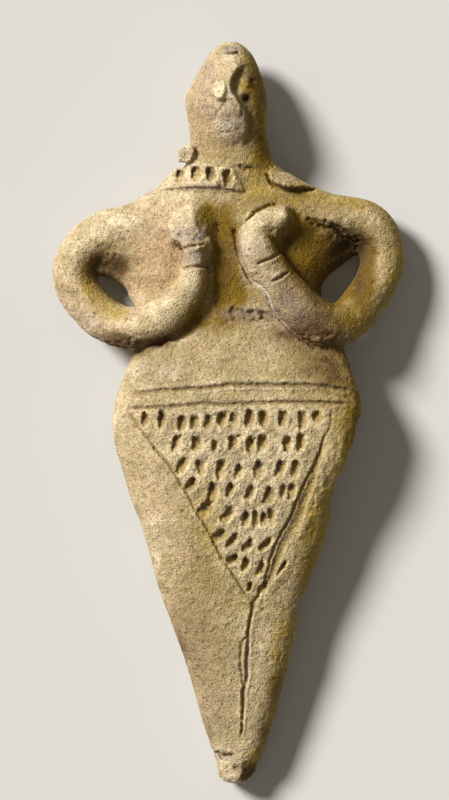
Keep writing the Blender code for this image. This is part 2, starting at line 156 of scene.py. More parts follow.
# Lumps pressed into shape between the fingers, by their corners.
LEFT_BREAST = (
    (-17, 50, 13), (-16, 54.6, 13), (-10.4, 57.2, 13), (-5, 56, 16.4), (-2.6, 51.6, 17.2),
    (-3.8, 45.6, 16), (-16.4, 44.6, 14), (-16.2, 49.6, 19.6), (-14.6, 53.4, 19.4), (-10.2, 55.6, 19.2),
    (-9.8, 53, 21.6), (-9.6, 50.4, 22.6), (-15.2, 46.4, 21.4), (-11.4, 45, 22.2), (-7.8, 46.4, 22.2),
)
RIGHT_BREAST = (
    (3.4, 50.4, 13), (8.6, 55, 13), (14.4, 56.4, 14), (17.4, 54.8, 15.6), (18.8, 50.4, 15.8),
    (17.4, 44.6, 15.8), (14.6, 41, 16), (2.8, 47, 19.4), (5.8, 49.8, 21.4), (9.6, 52.4, 22),
    (14.8, 54.8, 21.4), (15.6, 52.2, 22.8), (12.4, 49, 22.6), (8, 47.4, 22.8),
)
LEFT_FINGER = (
    (-8, 47.6, 15), (-3.8, 46.2, 16), (-3.2, 42.6, 16), (-6.2, 39.4, 15), (-7.4, 47.6, 21.6),
    (-5.4, 47, 21.2), (-4, 44.8, 19.8), (-4.6, 41.2, 19), (-6.6, 40.4, 19.8),
)
LEFT_STUB = (
    (-13.6, 67.3, 10), (-13.8, 70.4, 10.4), (-12.2, 71.9, 10), (-9.4, 71.7, 11), (-9, 68.2, 11),
    (-13.7, 67.2, 14.8), (-13.4, 70.8, 15.6), (-10.8, 72.1, 15.6), (-9.2, 71, 16), (-9.4, 68.8, 16.2),
    (-10.6, 67, 15.4),
)
# The least height under bits stuck on the very edge, where the front falls away.
EDGE_HEIGHT = 8.5
# The third number is how far each of these corners stands off the skin.
RIGHT_STUB = (
    (11.2, 64.7, -1.5), (16, 65, -1.5), (19.4, 62.8, -1.5), (23.6, 60.6, -1.5), (16.1, 60.4, -1.5),
    (12.4, 61.2, -1.5), (10.8, 64.6, 1.4), (11, 62.8, 3.2), (13.2, 61.2, 3.4), (16.1, 60.4, 3.4),
    (19.8, 60.6, 2.6), (16, 64.2, 2.4), (19.6, 62.4, 2), (23.4, 60.6, 1.2),
)
# The strip across the foot of the neck: x, y, width.
NECKLACE = (
    (-19.2, 60.5, 0.8), (-17, 61.7, 3), (-15.4, 62.6, 4.8), (-12.8, 63.5, 6.2), (-8, 63.5, 6.2),
    (-3.4, 63.2, 5.9), (0.2, 62.8, 6), (2.4, 61.2, 3.6), (4, 59.9, 1),
)
NECKLACE_STEP = 0.8
NECKLACE_DEPTH = 1.2
NECKLACE_RISE = 1.2
# Its upper edge stands off the skin by this share of the lower edge's rise.
NECKLACE_TOP = 0.45
# Pellets for eyes: x, y, width, length.
LEFT_EYE = (-2.2, 86, 4.4, 5.6)
RIGHT_EYE = (4.5, 88, 2.5, 2.4)
EYE_RISE = 1.25
EYE_WEAR = 0.3

# Lines scratched in the wet clay.
BELT_TOP = (
    (-25.1, 4.9), (-22.7, 5.2), (-19, 5.5), (-15.4, 5.8), (-10.4, 6.1), (-5.7, 6.3), (0.2, 7.2),
    (4.4, 7.1), (14.4, 7.1), (21.9, 7), (27, 6.6), (30.4, 6.1), (34, 5.4),
)
BELT_SPLIT = ((-18.9, 5.4), (-19.4, 4.2))
BELT_FOOT = (
    (-26.8, 0.9), (-21.8, 1.2), (-16.7, 1.3), (-10.8, 1.7), (-6.6, 2.2), (-2.4, 1.9), (2.7, 2.1),
    (7.6, 2.3), (14.4, 2.7), (20.2, 2.4), (27, 2.3), (30.4, 2.2), (33, 2.4),
)
LEFT_SIDE = (
    (-27.3, 0.4), (-24.3, -3.6), (-23, -5.5), (-18.8, -10.8), (-15.4, -15), (-12.5, -20), (-10.8, -22.1),
    (-9.1, -26.4), (-6.9, -29.2), (-4.2, -34.2), (-1, -40.5), (2.6, -45.9), (5.7, -50.4), (6.4, -52),
)
RIGHT_SIDE_TOP = ((27.7, 1), (27.2, -4), (25.6, -6.9), (24.4, -11))
RIGHT_SIDE_WALL = (
    (26.4, -5.4), (25.2, -7.4), (23.9, -12), (22.3, -15.4), (20.3, -19.2), (18.7, -23), (16.7, -28),
    (13.5, -33.6), (10.9, -40.6), (9.6, -45.6), (7.4, -49.8),
)
RIGHT_SIDE = (
    (25.4, -9), (24.1, -12), (22.6, -17.4), (20.8, -21.6), (18.6, -27.8), (14.8, -35), (12.1, -42),
    (10, -46.6), (8, -49.4),
)
RIGHT_SIDE_FOOT = ((9.6, -47), (7.1, -50.8), (6, -54.1))
LEG_LINE = (
    (6.4, -50), (6.1, -54), (5.5, -56.2), (5.3, -59.8), (5.1, -64.3), (4.9, -68.9), (4.7, -72.4),
    (4, -75.1), (3.9, -78.7), (3.7, -83.2), (3.2, -88),
)
LEG_BRANCH = ((5.1, -60.5), (3.6, -61.9), (3.3, -65.7), (3.4, -69.7), (4, -74))
WRIST_LINES = (
    ((-12.7, 38.4), (-9, 38.9), (-5.4, 38.8)),
    ((-12.8, 43.4), (-10, 44), (-6.2, 45)),
    ((7.6, 39.5), (11, 40.8), (14.4, 42.8)),
    ((11.6, 34.9), (13.6, 35.8), (15.9, 37.5)),
)

# Where the stubs of broken-off bits stand away from the neck and shoulder.
STUB_CREASE = ((10.3, 64), (11.2, 61.8), (13.4, 60.2), (16.1, 59.6), (19.7, 59.8), (23.6, 60))
STUB_GAP = ((-8.8, 67.6), (-8.5, 69.6), (-8.9, 71.7))

# Cracks, nicks and creases left in joining and pressing the clay.
NECK_CRACK = ((-3.8, 66.1), (2, 65.6))
NECK_NICK = ((3, 65.8), (7.4, 65))
FINGER_CREASE = ((4.4, 50.4), (7, 53.6), (10.4, 55.2), (13, 55.6))
UPPER_JAB_CRACK = ((-4.6, -0.9), (-1, -0.4), (3.4, -0.9))
LOWER_JAB_CRACK = ((0.8, -6.9), (3.4, -6.4))
TIP_CRACK = ((-4.6, -92), (-2.6, -92.6), (-0.8, -93.3), (1.4, -93.1))

# A scratched line's section and ends, in shares of its width, depth and length.
TROUGH_POWER = 0.7
BURR_PLACE = 0.9
BURR_WIDTH = 0.4
LINE_ENDS = 0.06
END_DEPTH = 0.3
# The lines in the front, with width, depth, burr, fray and how much they swell midway.
LINES = (
    (BELT_TOP, 1.25, 0.65, 0.35, 0.18, 0.2),
    (BELT_SPLIT, 0.9, 0.4, 0.2, 0.2, 0),
    (BELT_FOOT, 1.25, 0.7, 0.35, 0.18, 0.2),
    (LEFT_SIDE, 0.8, 0.7, 0.1, 0.1, 0),
    (RIGHT_SIDE_TOP, 0.9, 0.3, 0.3, 0.3, 0),
    (RIGHT_SIDE, 3.2, 0.7, 0.5, 0.06, 0.5),
    (RIGHT_SIDE_WALL, 1, 0.8, 0, 0.1, 0.4),
    (RIGHT_SIDE_FOOT, 1.3, 0.9, 0.2, 0.2, 0),
    (LEG_LINE, 1.1, 0.95, 0.25, 0.15, 0.4),
    (STUB_CREASE, 1.3, 1.3, 0, 0.15, 0.5),
    (STUB_GAP, 0.8, 0.7, 0, 0.15, 0.3),
    (LEG_BRANCH, 1, 0.5, 0.1, 0.2, 0),
    (NECK_CRACK, 0.8, 0.35, 0.1, 0.3, 0),
    (NECK_NICK, 1.2, 0.5, 0.4, 0.5, 0),
    (FINGER_CREASE, 1.1, 1, 0.1, 0.3, 0.4),
    (UPPER_JAB_CRACK, 1.2, 0.5, 0.3, 0.5, 0.3),
    (LOWER_JAB_CRACK, 1, 0.6, 0.3, 0.5, 0.3),
    (TIP_CRACK, 1.7, 1, 0.1, 0.5, 0.6),
    *((line, 1.1, 0.85, 0.25, 0.15, 0.3) for line in WRIST_LINES),
)

# Slots jabbed with the end of a stick: x, y, lean in degrees, length, width.
JABS = (
    (-22.4, -2.1, 8, 3.9, 1.5), (-18, -2.3, 5, 5.2, 1.7), (-12.6, -3.1, 4, 4.4, 1.9),
    (-9.3, -3.1, 4, 4, 1.9), (-5.4, -2.7, 8, 4.3, 1.7), (-1.7, -2.1, 4, 3.9, 2.2),
    (1.2, -2.2, 6, 4.3, 2), (5.5, -2, 4, 4.9, 2), (9.3, -1.9, 0, 4.4, 2),
    (14.4, -1.9, 4, 4.5, 1.9), (19.6, -2.4, 0, 5.2, 1.8), (23.6, -1.5, 18, 2.9, 2.5),
    (-14.1, -8.4, 10, 4.7, 1.8), (-8.5, -8.6, 0, 4.5, 2.2), (-3.9, -9.2, 6, 3.4, 1.5),
    (1, -8.4, 6, 4, 1.9), (5.9, -8.7, 10, 4.4, 1.9), (8.9, -8.2, 6, 4.3, 2.2),
    (15.6, -8.6, 6, 4.7, 1.9), (19.2, -8.4, 4, 5.2, 1.8),
    (-12.5, -14.5, 22, 4.5, 2), (-7.6, -14.7, -8, 4, 1.7), (-2.2, -15.5, 6, 4.9, 2),
    (2.6, -15.9, 14, 3.8, 1.8), (7.9, -15.5, 10, 4.9, 2.1), (13.7, -15.3, 14, 4.7, 2.1),
    (17.7, -15.3, 16, 4.5, 1.8),
    (-10.1, -19.4, 48, 4, 1.9), (-4.3, -21.1, 12, 4.9, 1.9), (0.4, -20.9, 14, 3.6, 1.8),
    (5.7, -21.9, 24, 4.5, 2), (10.7, -22.5, 20, 4.7, 2.1), (14.6, -21.3, 10, 3.8, 1.7),
    (16.8, -21.3, 4, 4, 1.7),
    (-6.2, -25.9, 44, 4.9, 2.5), (-0.4, -27.7, 40, 4.9, 1.9), (4.6, -28.8, 10, 4, 1.7),
    (7.3, -28.8, 6, 4.3, 1.7), (9.4, -28.6, 10, 3.6, 1.6), (11.3, -28.4, 8, 4.5, 1.8),
    (-2.8, -33.3, 60, 4.3, 2.1), (1, -34.4, 38, 4.9, 1.7), (5.1, -36, 42, 4.3, 1.7),
    (9.6, -35.6, 46, 4.7, 1.7),
    (0.8, -39.6, 68, 3.6, 1.9), (4.4, -41, 16, 4.3, 1.7), (8.5, -42, 22, 4, 1.6),
    (14.3, -41.8, 30, 4.9, 1.1), (9.1, -47.3, 36, 3.8, 1.6), (5.6, -47, 8, 2.7, 1),
)
JAB_DEPTH = 1.8
JAB_SPREAD = (0.7, 1.2)
# Left and right of a slot's middle: what the distance counts for, and where its wall starts.
JAB_LEFT = (0.94, 0.75)
JAB_RIGHT = (0.72, 0.35)
JAB_WALL_END = 1.15
# How far off a slot is still felt, in its lengths.
JAB_RANGE = 1.6
JAB_FRAY = 0.22
JAB_BURR = 0.24
# The slots in the strip, by the same numbers and their depth.
NECKLACE_JABS = (
    (-13.1, 63.8, -3, 3.4, 2.2, 1.9), (-8.8, 64, -3, 3.8, 2.2, 1.9),
    (-4.8, 63.7, -3, 4.2, 2.2, 1.9), (-0.4, 62.7, -3, 4.6, 2.2, 1.9),
)
# Where the chest clay stops over the belly, in a step that fades out below it.
CHEST_EDGE = (
    (-25, 15.6), (-19, 17.4), (-13.2, 19.4), (-8, 21.6), (-3.7, 24.2), (1, 25.4), (6, 25.8), (12, 24.6),
)
CHEST_STEP = 1.3
CHEST_FADE = (3, 12)
CHEST_RANGE = 16
# What stands higher than this is the arms and hands, which the step leaves alone.
CHEST_FRONT = 20.5
EDGE_LUMPS = 0.8
EDGE_FRAY = 0.4
# Torn clay along that edge, with the numbers that scratched lines have.
TORN_EDGE = ((-0.6, 26.4), (2.4, 27), (5.6, 26), (8.6, 26.1), (12.6, 24.8))
TORN_SHAPE = (2.4, 0.7, 0.5, 0.35, 0.3)
# A low broken lump on the crown: x, y, half width, half height.
CROWN_LUMP = (0.5, 97.4, 2.1, 0.95)
CROWN_RISE = 0.8
FACE_RIDGE = (
    (5.6, 94.4), (3.9, 93.2), (2.1, 91.6), (1, 90), (0.3, 88.2), (0.5, 86.2), (1.6, 84.2), (3, 81.8),
    (4.6, 79.7), (5, 77.4), (4.6, 74.6), (3.9, 72.2), (3.2, 70),
)
# The hollow right of the ridge: depth and reach, and how much more at the brow, along the ridge.
CHEEK_HOLLOW = (1.1, 3)
BROW_HOLLOW = (2.8, 4)
BROW_PLACE = 0.32
BROW_SPREAD = 0.2
CHIN_HEIGHT = 70
FACE_WIDTH = 14
MUZZLE_EDGE = ((-5, 77.4), (-3.6, 79.2), (-1.8, 81.6), (0.2, 83), (2.2, 81.4), (4.4, 79))
MUZZLE = (0.9, 77, 5.4, 5.6)
MUZZLE_RISE = 0.8
# The crack that was mended with white filler.
REPAIR_LINE = (
    (1.4, 48.6), (2.2, 45.6), (3, 42), (4.6, 38), (6, 35.2), (8.6, 33.6), (10.6, 31.2), (12, 27.2),
    (14.4, 24.4), (17.2, 21.4), (22.2, 18), (26.6, 16.6),
)
REPAIR_WIDTH = 1.5
REPAIR_DEPTH = 1.1
REPAIR_FRAY = 0.2

# How fast soft ovals run out, and the most that one covers.
SPOT_FALL = 1.3
SPOT_MOST = 0.97
DENT_FALL = 1.2
# Soft dents in the front: x, y, half width, half height, depth.
DENTS = (
    (0, 43, 5.5, 12, 0.8),
    (14.6, 44.4, 2, 2.6, 1.2),
    (5, 49.2, 2.8, 1.4, 1),
    (9.2, 48.2, 2.8, 1.4, 1),
    (4.8, 83.6, 1.3, 1.3, 2.6),
    (6.2, 88.6, 1, 0.9, 1.2),
    (-4.2, 88.4, 0.6, 1, 0.8),
    (-4.6, 84.6, 0.6, 0.8, 0.6),
    (-6, 81.4, 1.6, 0.8, 0.5),
    (-0.8, -92.8, 2.2, 0.9, 0.9),
)
# Deep hollows that reach down the walls too, by the same numbers.
HOLLOWS = (
    (-31, 38.4, 6.8, 4.6, 4),
    (29.4, 38, 6, 8, 3.2),
    (33.8, 43, 4.2, 5, 4.2),
    (7, -98.6, 2.6, 2.8, 7),
)
# Under the right shoulder the chest drops in a step.
ARM_CREASE = ((19.6, 52.4), (24.6, 51), (29.6, 49.2), (33.2, 47), (35.4, 44))
ARM_STEP = 1.5
ARM_FADE = (3, 13)
ARM_RANGE = 14
# Hollows are full at this height and run out towards the back.
HOLLOW_WALL = 15.0
# Creases in the soft forms, with the numbers that scratched lines have.
CREASES = (
    (ARM_CREASE, 2, 0.9, 0, 0.5, 0.6),
    (MUZZLE_EDGE, 1.4, 0.35, 0.2, 0.5, 0.5),
)

# Chips off the edges: a flat cut through x, y, facing the angle, over a reach.
CHIPS = (
    (34.7, 6.9, 34, 1.2), (34.4, -3.4, -20, 2.4), (33.4, -7.4, -12, 3), (31.6, -12.6, -20, 3.6),
    (29.6, -16.8, -35, 2.4), (27.2, -22, -14, 5), (18.7, -52.4, -10, 2.6), (40.6, 26.6, -30, 2),
    (44.6, 30.2, -24, 3.4), (-31.2, -4, 184, 6), (-3.4, -94.6, 196, 4), (8, -95, -24, 4),
    (1.8, -100.2, -88, 6),
)
CHIP_DEPTH = 1.1
CHIP_RANGE = 6
CHIP_LUMPS = 0.3
# Pits and stuck grains: how many, their reach, and how deep or high they are.
PITS = 3400
PIT_REACH = (0.4, 0.85)
PIT_DEPTHS = (-0.12, 0.22, 0.3)
PIT_SPREAD = (0.5, 1.2)
# The back and walls are thinned out more, in this many levels.
THIN_LEVELS = 8
FRONT_KEPT = 0.8


def read_mesh(obj):
    """Places and normals of the vertices, one row each."""
    count = len(obj.data.vertices)
    places = np.empty(count * 3)
    normals = np.empty(count * 3)
    obj.data.vertices.foreach_get("co", places)
    obj.data.vertex_normals.foreach_get("vector", normals)
    return places.reshape(-1, 3), normals.reshape(-1, 3)


def write_mesh(obj, places):
    obj.data.vertices.foreach_set("co", places.ravel())
    obj.data.update()


def smooth_rows(rows, step):
    """The rows with more between them, on a smooth curve through each column."""
    rows = np.array(rows, float)
    slopes = np.gradient(rows, axis=0)
    slopes[0] = rows[1] - rows[0]
    slopes[-1] = rows[-1] - rows[-2]
    made = []
    for i in range(len(rows) - 1):
        gap = np.linalg.norm(rows[i + 1][:2] - rows[i][:2])
        count = max(2, round(gap / step))
        for t in np.arange(count) / count:
            start = (1 + 2 * t) * (1 - t) ** 2 * rows[i] + t * (1 - t) ** 2 * slopes[i]
            end = t * t * (3 - 2 * t) * rows[i + 1] - t * t * (1 - t) * slopes[i + 1]
            made.append(start + end)
    made.append(rows[-1])
    return np.array(made)


def let_go():
    bpy.ops.object.select_all(action="DESELECT")


def take(obj):
    """Selects this piece alone."""
    let_go()
    obj.select_set(True)
    bpy.context.view_layer.objects.active = obj


def start_editing(obj):
    take(obj)
    bpy.ops.object.mode_set(mode="EDIT")
    bpy.ops.mesh.select_all(action="SELECT")


def stop_editing():
    bpy.ops.object.mode_set(mode="OBJECT")


def start_piece(name, points, faces):
    """A new piece by its points and faces, ready to be edited."""
    data = bpy.data.meshes.new(name)
    data.from_pydata(points, [], faces)
    piece = bpy.data.objects.new(name, data)
    bpy.context.scene.collection.objects.link(piece)
    start_editing(piece)
    return piece


def apply_modifiers(obj):
    take(obj)
    for modifier in list(obj.modifiers):
        bpy.ops.object.modifier_apply(modifier=modifier.name)


def grain(places, kind):
    """Smooth random values of one kind of unevenness."""
    high, size, seed = kind
    scaled = places / size
    cell = np.floor(scaled).astype(np.int64)
    share = scaled - cell
    share = share * share * (3 - 2 * share)
    total = np.zeros(len(places))
    for corner in range(8):
        step = np.array([corner & 1, corner >> 1 & 1, corner >> 2 & 1])
        mixed = np.bitwise_xor.reduce((cell + step) * PLACE_FACTORS, axis=1) ^ seed * SEED_FACTOR
        mixed = (mixed ^ mixed >> 13) * LAST_FACTOR & LARGEST
        weight = np.prod(np.where(step, share, 1 - share), axis=1)
        total += weight * (mixed / (LARGEST // 2) - 1)
    return high * total


def rough_out_body():
    """Trunk, neck and head as one lump, drawn out section by section."""
    rows = smooth_rows(BODY_SECTIONS, SECTION_STEP) * ([MM] * 5 + [1])
    let_go()
    y, left, right, front, back = rows[0][:5]
    bpy.ops.mesh.primitive_circle_add(
        vertices=SECTION_POINTS,
        radius=1,
        fill_type="NGON",
        location=((left + right) / 2, y, (front + back) / 2),
        rotation=(math.radians(90), 0, 0),
    )
    body = bpy.context.object
    body.name = "clay_body"
    start_editing(body)
    bpy.ops.transform.resize(value=((right - left) / 2, 1, (front - back) / 2))
    for before, row in zip(rows, rows[1:]):
        shift = (
            (row[1] + row[2] - before[1] - before[2]) / 2,
            row[0] - before[0],
            (row[3] + row[4] - before[3] - before[4]) / 2,
        )
        bpy.ops.mesh.extrude_region_move(TRANSFORM_OT_translate={"value": shift})
        wider = (row[2] - row[1]) / (before[2] - before[1])
        deeper = (row[3] - row[4]) / (before[3] - before[4])
        bpy.ops.transform.resize(value=(wider, 1, deeper))
    bpy.ops.mesh.select_all(action="SELECT")
    bpy.ops.mesh.normals_make_consistent()
    stop_editing()
    bpy.ops.object.transform_apply()
    press_sections(body, rows)
    return body


def press_sections(body, rows):
    """Squares the round sections: flatter behind, fuller or pinched in front."""
    places = read_mesh(body)[0]
    left, right, front, back, fullness = [
        np.interp(places[:, 1], rows[:, 0], rows[:, i]) for i in range(1, 6)
    ]
    skew = np.interp(places[:, 1] / MM, *np.transpose(FACE_SKEW), left=0, right=0)
    across = (places[:, 0] - (left + right) / 2) / (right - left) * 2
    above = (places[:, 2] - (front + back) / 2) / (front - back) * 2
    angle = np.arctan2(above, across)
    fuller = np.interp(places[:, 1] / MM, *np.transpose(HIP_FULLNESS)) * (across > 0)
    power = 2 / np.where(above > 0, fullness + fuller, BACK_FULLNESS)
    across = np.sign(np.cos(angle)) * np.abs(np.cos(angle)) ** power
    above = np.sign(np.sin(angle)) * np.abs(np.sin(angle)) ** power
    across = across + skew * (1 - across ** 2) * (above > 0)
    places[:, 0] = (left + right) / 2 + across * (right - left) / 2
    places[:, 2] = (front + back) / 2 + above * (front - back) / 2
    write_mesh(body, places)


def roll_coil(name, path):
    """A rolled coil of clay along the path, as thick as the path says."""
    let_go()
    bpy.ops.curve.primitive_bezier_curve_add()
    coil = bpy.context.object
    coil.name = name
    spline = coil.data.splines[0]
    spline.bezier_points.add(len(path) - 2)
    for point, (x, y, z, thickness) in zip(spline.bezier_points, path):
        point.co = Vector((x, y, z)) * MM
        point.radius = thickness
        point.handle_left_type = "AUTO"
        point.handle_right_type = "AUTO"
    coil.data.dimensions = "3D"
    coil.data.twist_mode = "Z_UP"
    coil.data.bevel_depth = MM / 2
    coil.data.bevel_resolution = COIL_ROUNDNESS
    coil.data.resolution_u = COIL_STEPS
    coil.data.use_fill_caps = True
    bpy.ops.object.convert(target="MESH")
    return bpy.context.object


def press_lump(name, corners):
    """A lump pinched to the corners, with flat sides between them."""
    lump = start_piece(name, [Vector(corner) * MM for corner in corners], [])
    bpy.ops.mesh.convex_hull()
    stop_editing()
    return lump


def front_height(obj):
    """A function that gives the height of the front at a place."""
    tree = BVHTree.FromObject(obj, bpy.context.evaluated_depsgraph_get())
    above = Vector((0, 0, 3 * HIGH[2]))

    def height(x, y):
        hit = tree.ray_cast(Vector((x, y, 0)) + above, Vector((0, 0, -1)))[0]
        return hit.z if hit else 0.0

    return height


def on_skin(corners, height):
    """The corners with their rise over the skin turned into a height."""
    return [(x, y, rise + max(height(x * MM, y * MM) / MM, EDGE_HEIGHT)) for x, y, rise in corners]


def fuse(pieces, skin, rounds):
    """The pieces pressed into one skin of clay, its joins smoothed over."""
    let_go()
    for piece in pieces:
        piece.select_set(True)
    bpy.context.view_layer.objects.active = pieces[0]
    bpy.ops.object.join()
    clay = bpy.context.object
    clay.name = "clay_figure"
    remesh = clay.modifiers.new("skin", "REMESH")
    remesh.mode = "VOXEL"
    remesh.voxel_size = skin
    smooth = clay.modifiers.new("joins", "SMOOTH")
    smooth.iterations = rounds
    apply_modifiers(clay)
    return clay


def press_pellet(name, height, eye):
    """A flat round pellet of clay stuck on the slope of the face."""
    x, y, wide, long = [value * MM for value in eye]
    slope_x = (height(x + wide / 2, y) - height(x - wide / 2, y)) / wide
    slope_y = (height(x, y + long / 2) - height(x, y - long / 2)) / long
    lean = Vector((0, 0, 1)).rotation_difference(Vector((-slope_x, -slope_y, 1)))
    let_go()
    bpy.ops.mesh.primitive_cylinder_add(
        vertices=PELLET_POINTS,
        radius=0.5,
        depth=1,
        location=(x, y, height(x, y)),
        rotation=lean.to_euler(),
        scale=(wide, long, 2 * EYE_RISE * MM),
    )
    pellet = bpy.context.object
    pellet.name = name
    bpy.ops.object.transform_apply()
    bevel = pellet.modifiers.new("worn_edge", "BEVEL")
    bevel.width = EYE_WEAR * MM
    bevel.segments = 2
    apply_modifiers(pellet)
    return pellet


def lay_necklace(height):
    """The flat strip of clay across the foot of the neck."""
    points = []
    for x, y, wide in smooth_rows(NECKLACE, NECKLACE_STEP):
        for share in (-0.5, 0.5):
            px = x * MM
            py = (y + share * wide) * MM
            top = max(height(px, py), EDGE_HEIGHT * MM)
            rise = NECKLACE_RISE * MM * (1.0 if share < 0 else NECKLACE_TOP)
            points.append((px, py, top - NECKLACE_DEPTH * MM))
            points.append((px, py, top + rise))
    faces = []
    ring = (0, 1, 3, 2)
    for start in range(0, len(points) - 4, 4):
        for one, two in zip(ring, ring[1:] + ring[:1]):
            faces.append((start + one, start + two, start + 4 + two, start + 4 + one))
    last = len(points) - 4
    faces += [(0, 2, 3, 1), [last + corner for corner in ring]]
    strip = start_piece("necklace", points, faces)
    bpy.ops.mesh.normals_make_consistent()
    stop_editing()
    return strip


def line_distance(x, y, points):
    """Distance to the drawn line, the side of it, and how far along it."""
    line = smooth_rows(points, LINE_STEP)
    nearest = np.full(len(x), np.inf)
    side = np.zeros(len(x))
    along = np.zeros(len(x))
    walked = 0.0
    for one, two in zip(line, line[1:]):
        step = two - one
        length = np.hypot(*step)
        share = ((x - one[0]) * step[0] + (y - one[1]) * step[1]) / length ** 2
        share = np.clip(share, 0, 1)
        away_x = x - one[0] - share * step[0]
        away_y = y - one[1] - share * step[1]
        away = np.hypot(away_x, away_y)
        closer = away < nearest
        nearest = np.where(closer, away, nearest)
        side = np.where(closer, np.sign(step[0] * away_y - step[1] * away_x), side)
        along = np.where(closer, walked + share * length, along)
        walked += length
    return nearest, side, along / walked


def ease(low, high, value):
    """From none at low to one at high, with soft ends."""
    share = np.clip((value - low) / (high - low), 0, 1)
    return share * share * (3 - 2 * share)


def scratch(x, y, ragged, points, width, depth, burr, fray, swell):
    """Depth of a line scratched in wet clay, with the burr that it throws up."""
    away, _, along = line_distance(x, y, points)
    away = away + fray * width * ragged
    width = width * (1 - swell + swell * np.sin(math.pi * along))
    fade = ease(0, LINE_ENDS, along) * ease(0, LINE_ENDS, 1 - along)
    cut = depth * np.clip(1 - (2 * away / width) ** 2, 0, 1) ** TROUGH_POWER
    raised = burr * depth * np.exp(-((away - BURR_PLACE * width) / (BURR_WIDTH * width)) ** 2)
    return cut * (END_DEPTH + (1 - END_DEPTH) * fade) - raised * fade


def jab(x, y, ragged, slot):
    """Depth of a slot pressed with a stick end, and the clay pushed up round it."""
    px, py, lean, length, width, depth = slot
    turn = math.radians(lean)
    up = ((x - px) * math.sin(turn) + (y - py) * math.cos(turn)) / (length / 2)
    over = ((x - px) * math.cos(turn) - (y - py) * math.sin(turn)) / (width / 2)
    right = over > 0
    over = over * np.where(right, JAB_RIGHT[0], JAB_LEFT[0])
    wall = np.where(right, JAB_RIGHT[1], JAB_LEFT[1])
    reach = (np.abs(up) ** 4 + np.abs(over) ** 4) ** 0.25 + JAB_FRAY * ragged
    # It is deepest at its upper end, and most of the clay is shoved to the lower right.
    tilt = 0.7 + 0.3 * np.clip(1.5 * up, -1, 1)
    cut = depth * (1 - ease(wall, JAB_WALL_END, reach)) * tilt
    reach = np.hypot(up, over) + 0.3 * ragged
    shove = np.clip(0.6 + 0.3 * over - 0.3 * up + 0.4 * ragged, 0, 1)
    burr = JAB_BURR * depth * ease(0.8, 1.3, reach) * np.exp(-np.clip(reach - 1.3, 0, 9) / 0.9) * shove
    return cut - burr * (1 - ease(2.2, 3.4, reach))


def near(x, y, place, reach):
    return (np.abs(x - place[0]) < reach) & (np.abs(y - place[1]) < reach)


def oval(x, y, place):
    """How far out in an oval each place is, squared: 1 on the edge."""
    return ((x - place[0]) / place[2]) ** 2 + ((y - place[1]) / place[3]) ** 2


def spots(x, y, places, drift=0.0):
    """Soft-edged ovals: x, y, half width, half height, strength."""
    bare = np.ones(len(x))
    for *place, strength in places:
        cover = strength * (1 + drift) * np.exp(-SPOT_FALL * oval(x, y, place))
        bare = bare * (1 - np.minimum(cover, SPOT_MOST))
    return 1 - bare


def sink_ovals(sunk, x, y, places):
    """The depths with soft ovals added: x, y, half width, half height, depth."""
    for *place, depth in places:
        sunk = sunk + depth * np.exp(-DENT_FALL * oval(x, y, place))
    return sunk


def facing_front(normals):
    """One where the skin faces the front, none on the walls."""
    return ease(0.05, 0.5, normals[:, 2])


def on_eye(x, y):
    """One on the left eye's pellet, none round it."""
    px, py, wide, long = LEFT_EYE
    return 1 - ease(0.85, 1.1, 2 * np.hypot((x - px) / wide, (y - py) / long))


def marks(flat):
    """How far the tool marks sink the front, in millimetres."""
    ragged = grain(flat, RAGGED)
    x = flat[:, 0] + grain(flat, WAVER_ACROSS)
    y = flat[:, 1] + grain(flat, WAVER_ALONG)
    sunk = np.zeros(len(x))
    for line in LINES:
        scratched = scratch(x, y, ragged, *line)
        sunk = np.where(np.abs(scratched) > np.abs(sunk), scratched, sunk)
    raised = np.zeros(len(x))
    rng = np.random.default_rng(SEED)
    slots = [(*slot, JAB_DEPTH * rng.uniform(*JAB_SPREAD)) for slot in JABS]
    for slot in (*slots, *NECKLACE_JABS):
        close = near(x, y, slot, JAB_RANGE * slot[3])
        pressed = jab(x[close], y[close], ragged[close], slot)
        sunk[close] = np.maximum(sunk[close], pressed)
        raised[close] = np.minimum(raised[close], pressed)
    return sunk + raised


# Torn, crumbled and encrusted places: x, y, half width, half height, strength.
ROUGH_SPOTS = (
    (4.8, 25.8, 6, 1.6, 2.4), (4, 26, 9, 2.6, 0.6), (3, 36, 6.5, 10, 0.3), (-29, 19.4, 10, 3.4, 0.9),
    (-38, 24, 6, 5, 0.8), (-30, 39.4, 6, 3.6, 0.9), (29, 50, 9, 3.4, 0.8), (33, 45, 5, 4, 0.7),
    (25, 20.4, 8, 4.6, 0.7), (34.5, 0, 3, 10, 0.9), (31, -6, 5, 16, 0.6), (26, -24, 4, 12, 0.5),
    (1.8, -96.6, 8, 3.4, 1), (-11, 69.4, 3, 3, 0.6), (15, 62.6, 6.5, 2.2, 0.5),
    (0.5, 97.4, 2.6, 1.4, 1.2), (-10.6, 47.6, 6, 3.4, 1), (-9.4, 42.6, 4, 4, 0.4), (8, 45.6, 6, 6, 0.35),
    (0.4, 77.4, 5.4, 6, 0.4), (-5, 86, 4, 6, 0.45), (5, 84, 5, 8, 0.5), (4, -14, 20, 14, 0.55),
    (4, -34, 9, 12, 0.65), (-6, 64, 14, 3, 0.3), (16, 50, 4, 7, 0.4), (-4, 53, 5, 6, 0.3),
)
# Places that crumble into coarse grains, by the same numbers.
CRUMBLED = (
    (0.4, 76.6, 4.6, 4.6, 0.3), (5.6, 26, 6.6, 1.3, 2.6), (-1.6, 24.8, 4, 1, 1), (-29, 18.4, 7, 1.8, 1.3),
    (-32.6, 39.4, 4.6, 2, 0.8), (-10.8, 46.8, 4.4, 1.8, 1), (30, 47.6, 6, 1.8, 0.8),
    (25, 19, 7, 2.2, 0.9), (1.6, -97.8, 6, 2.6, 0.7), (0.4, 97.4, 2.2, 1, 1),
)


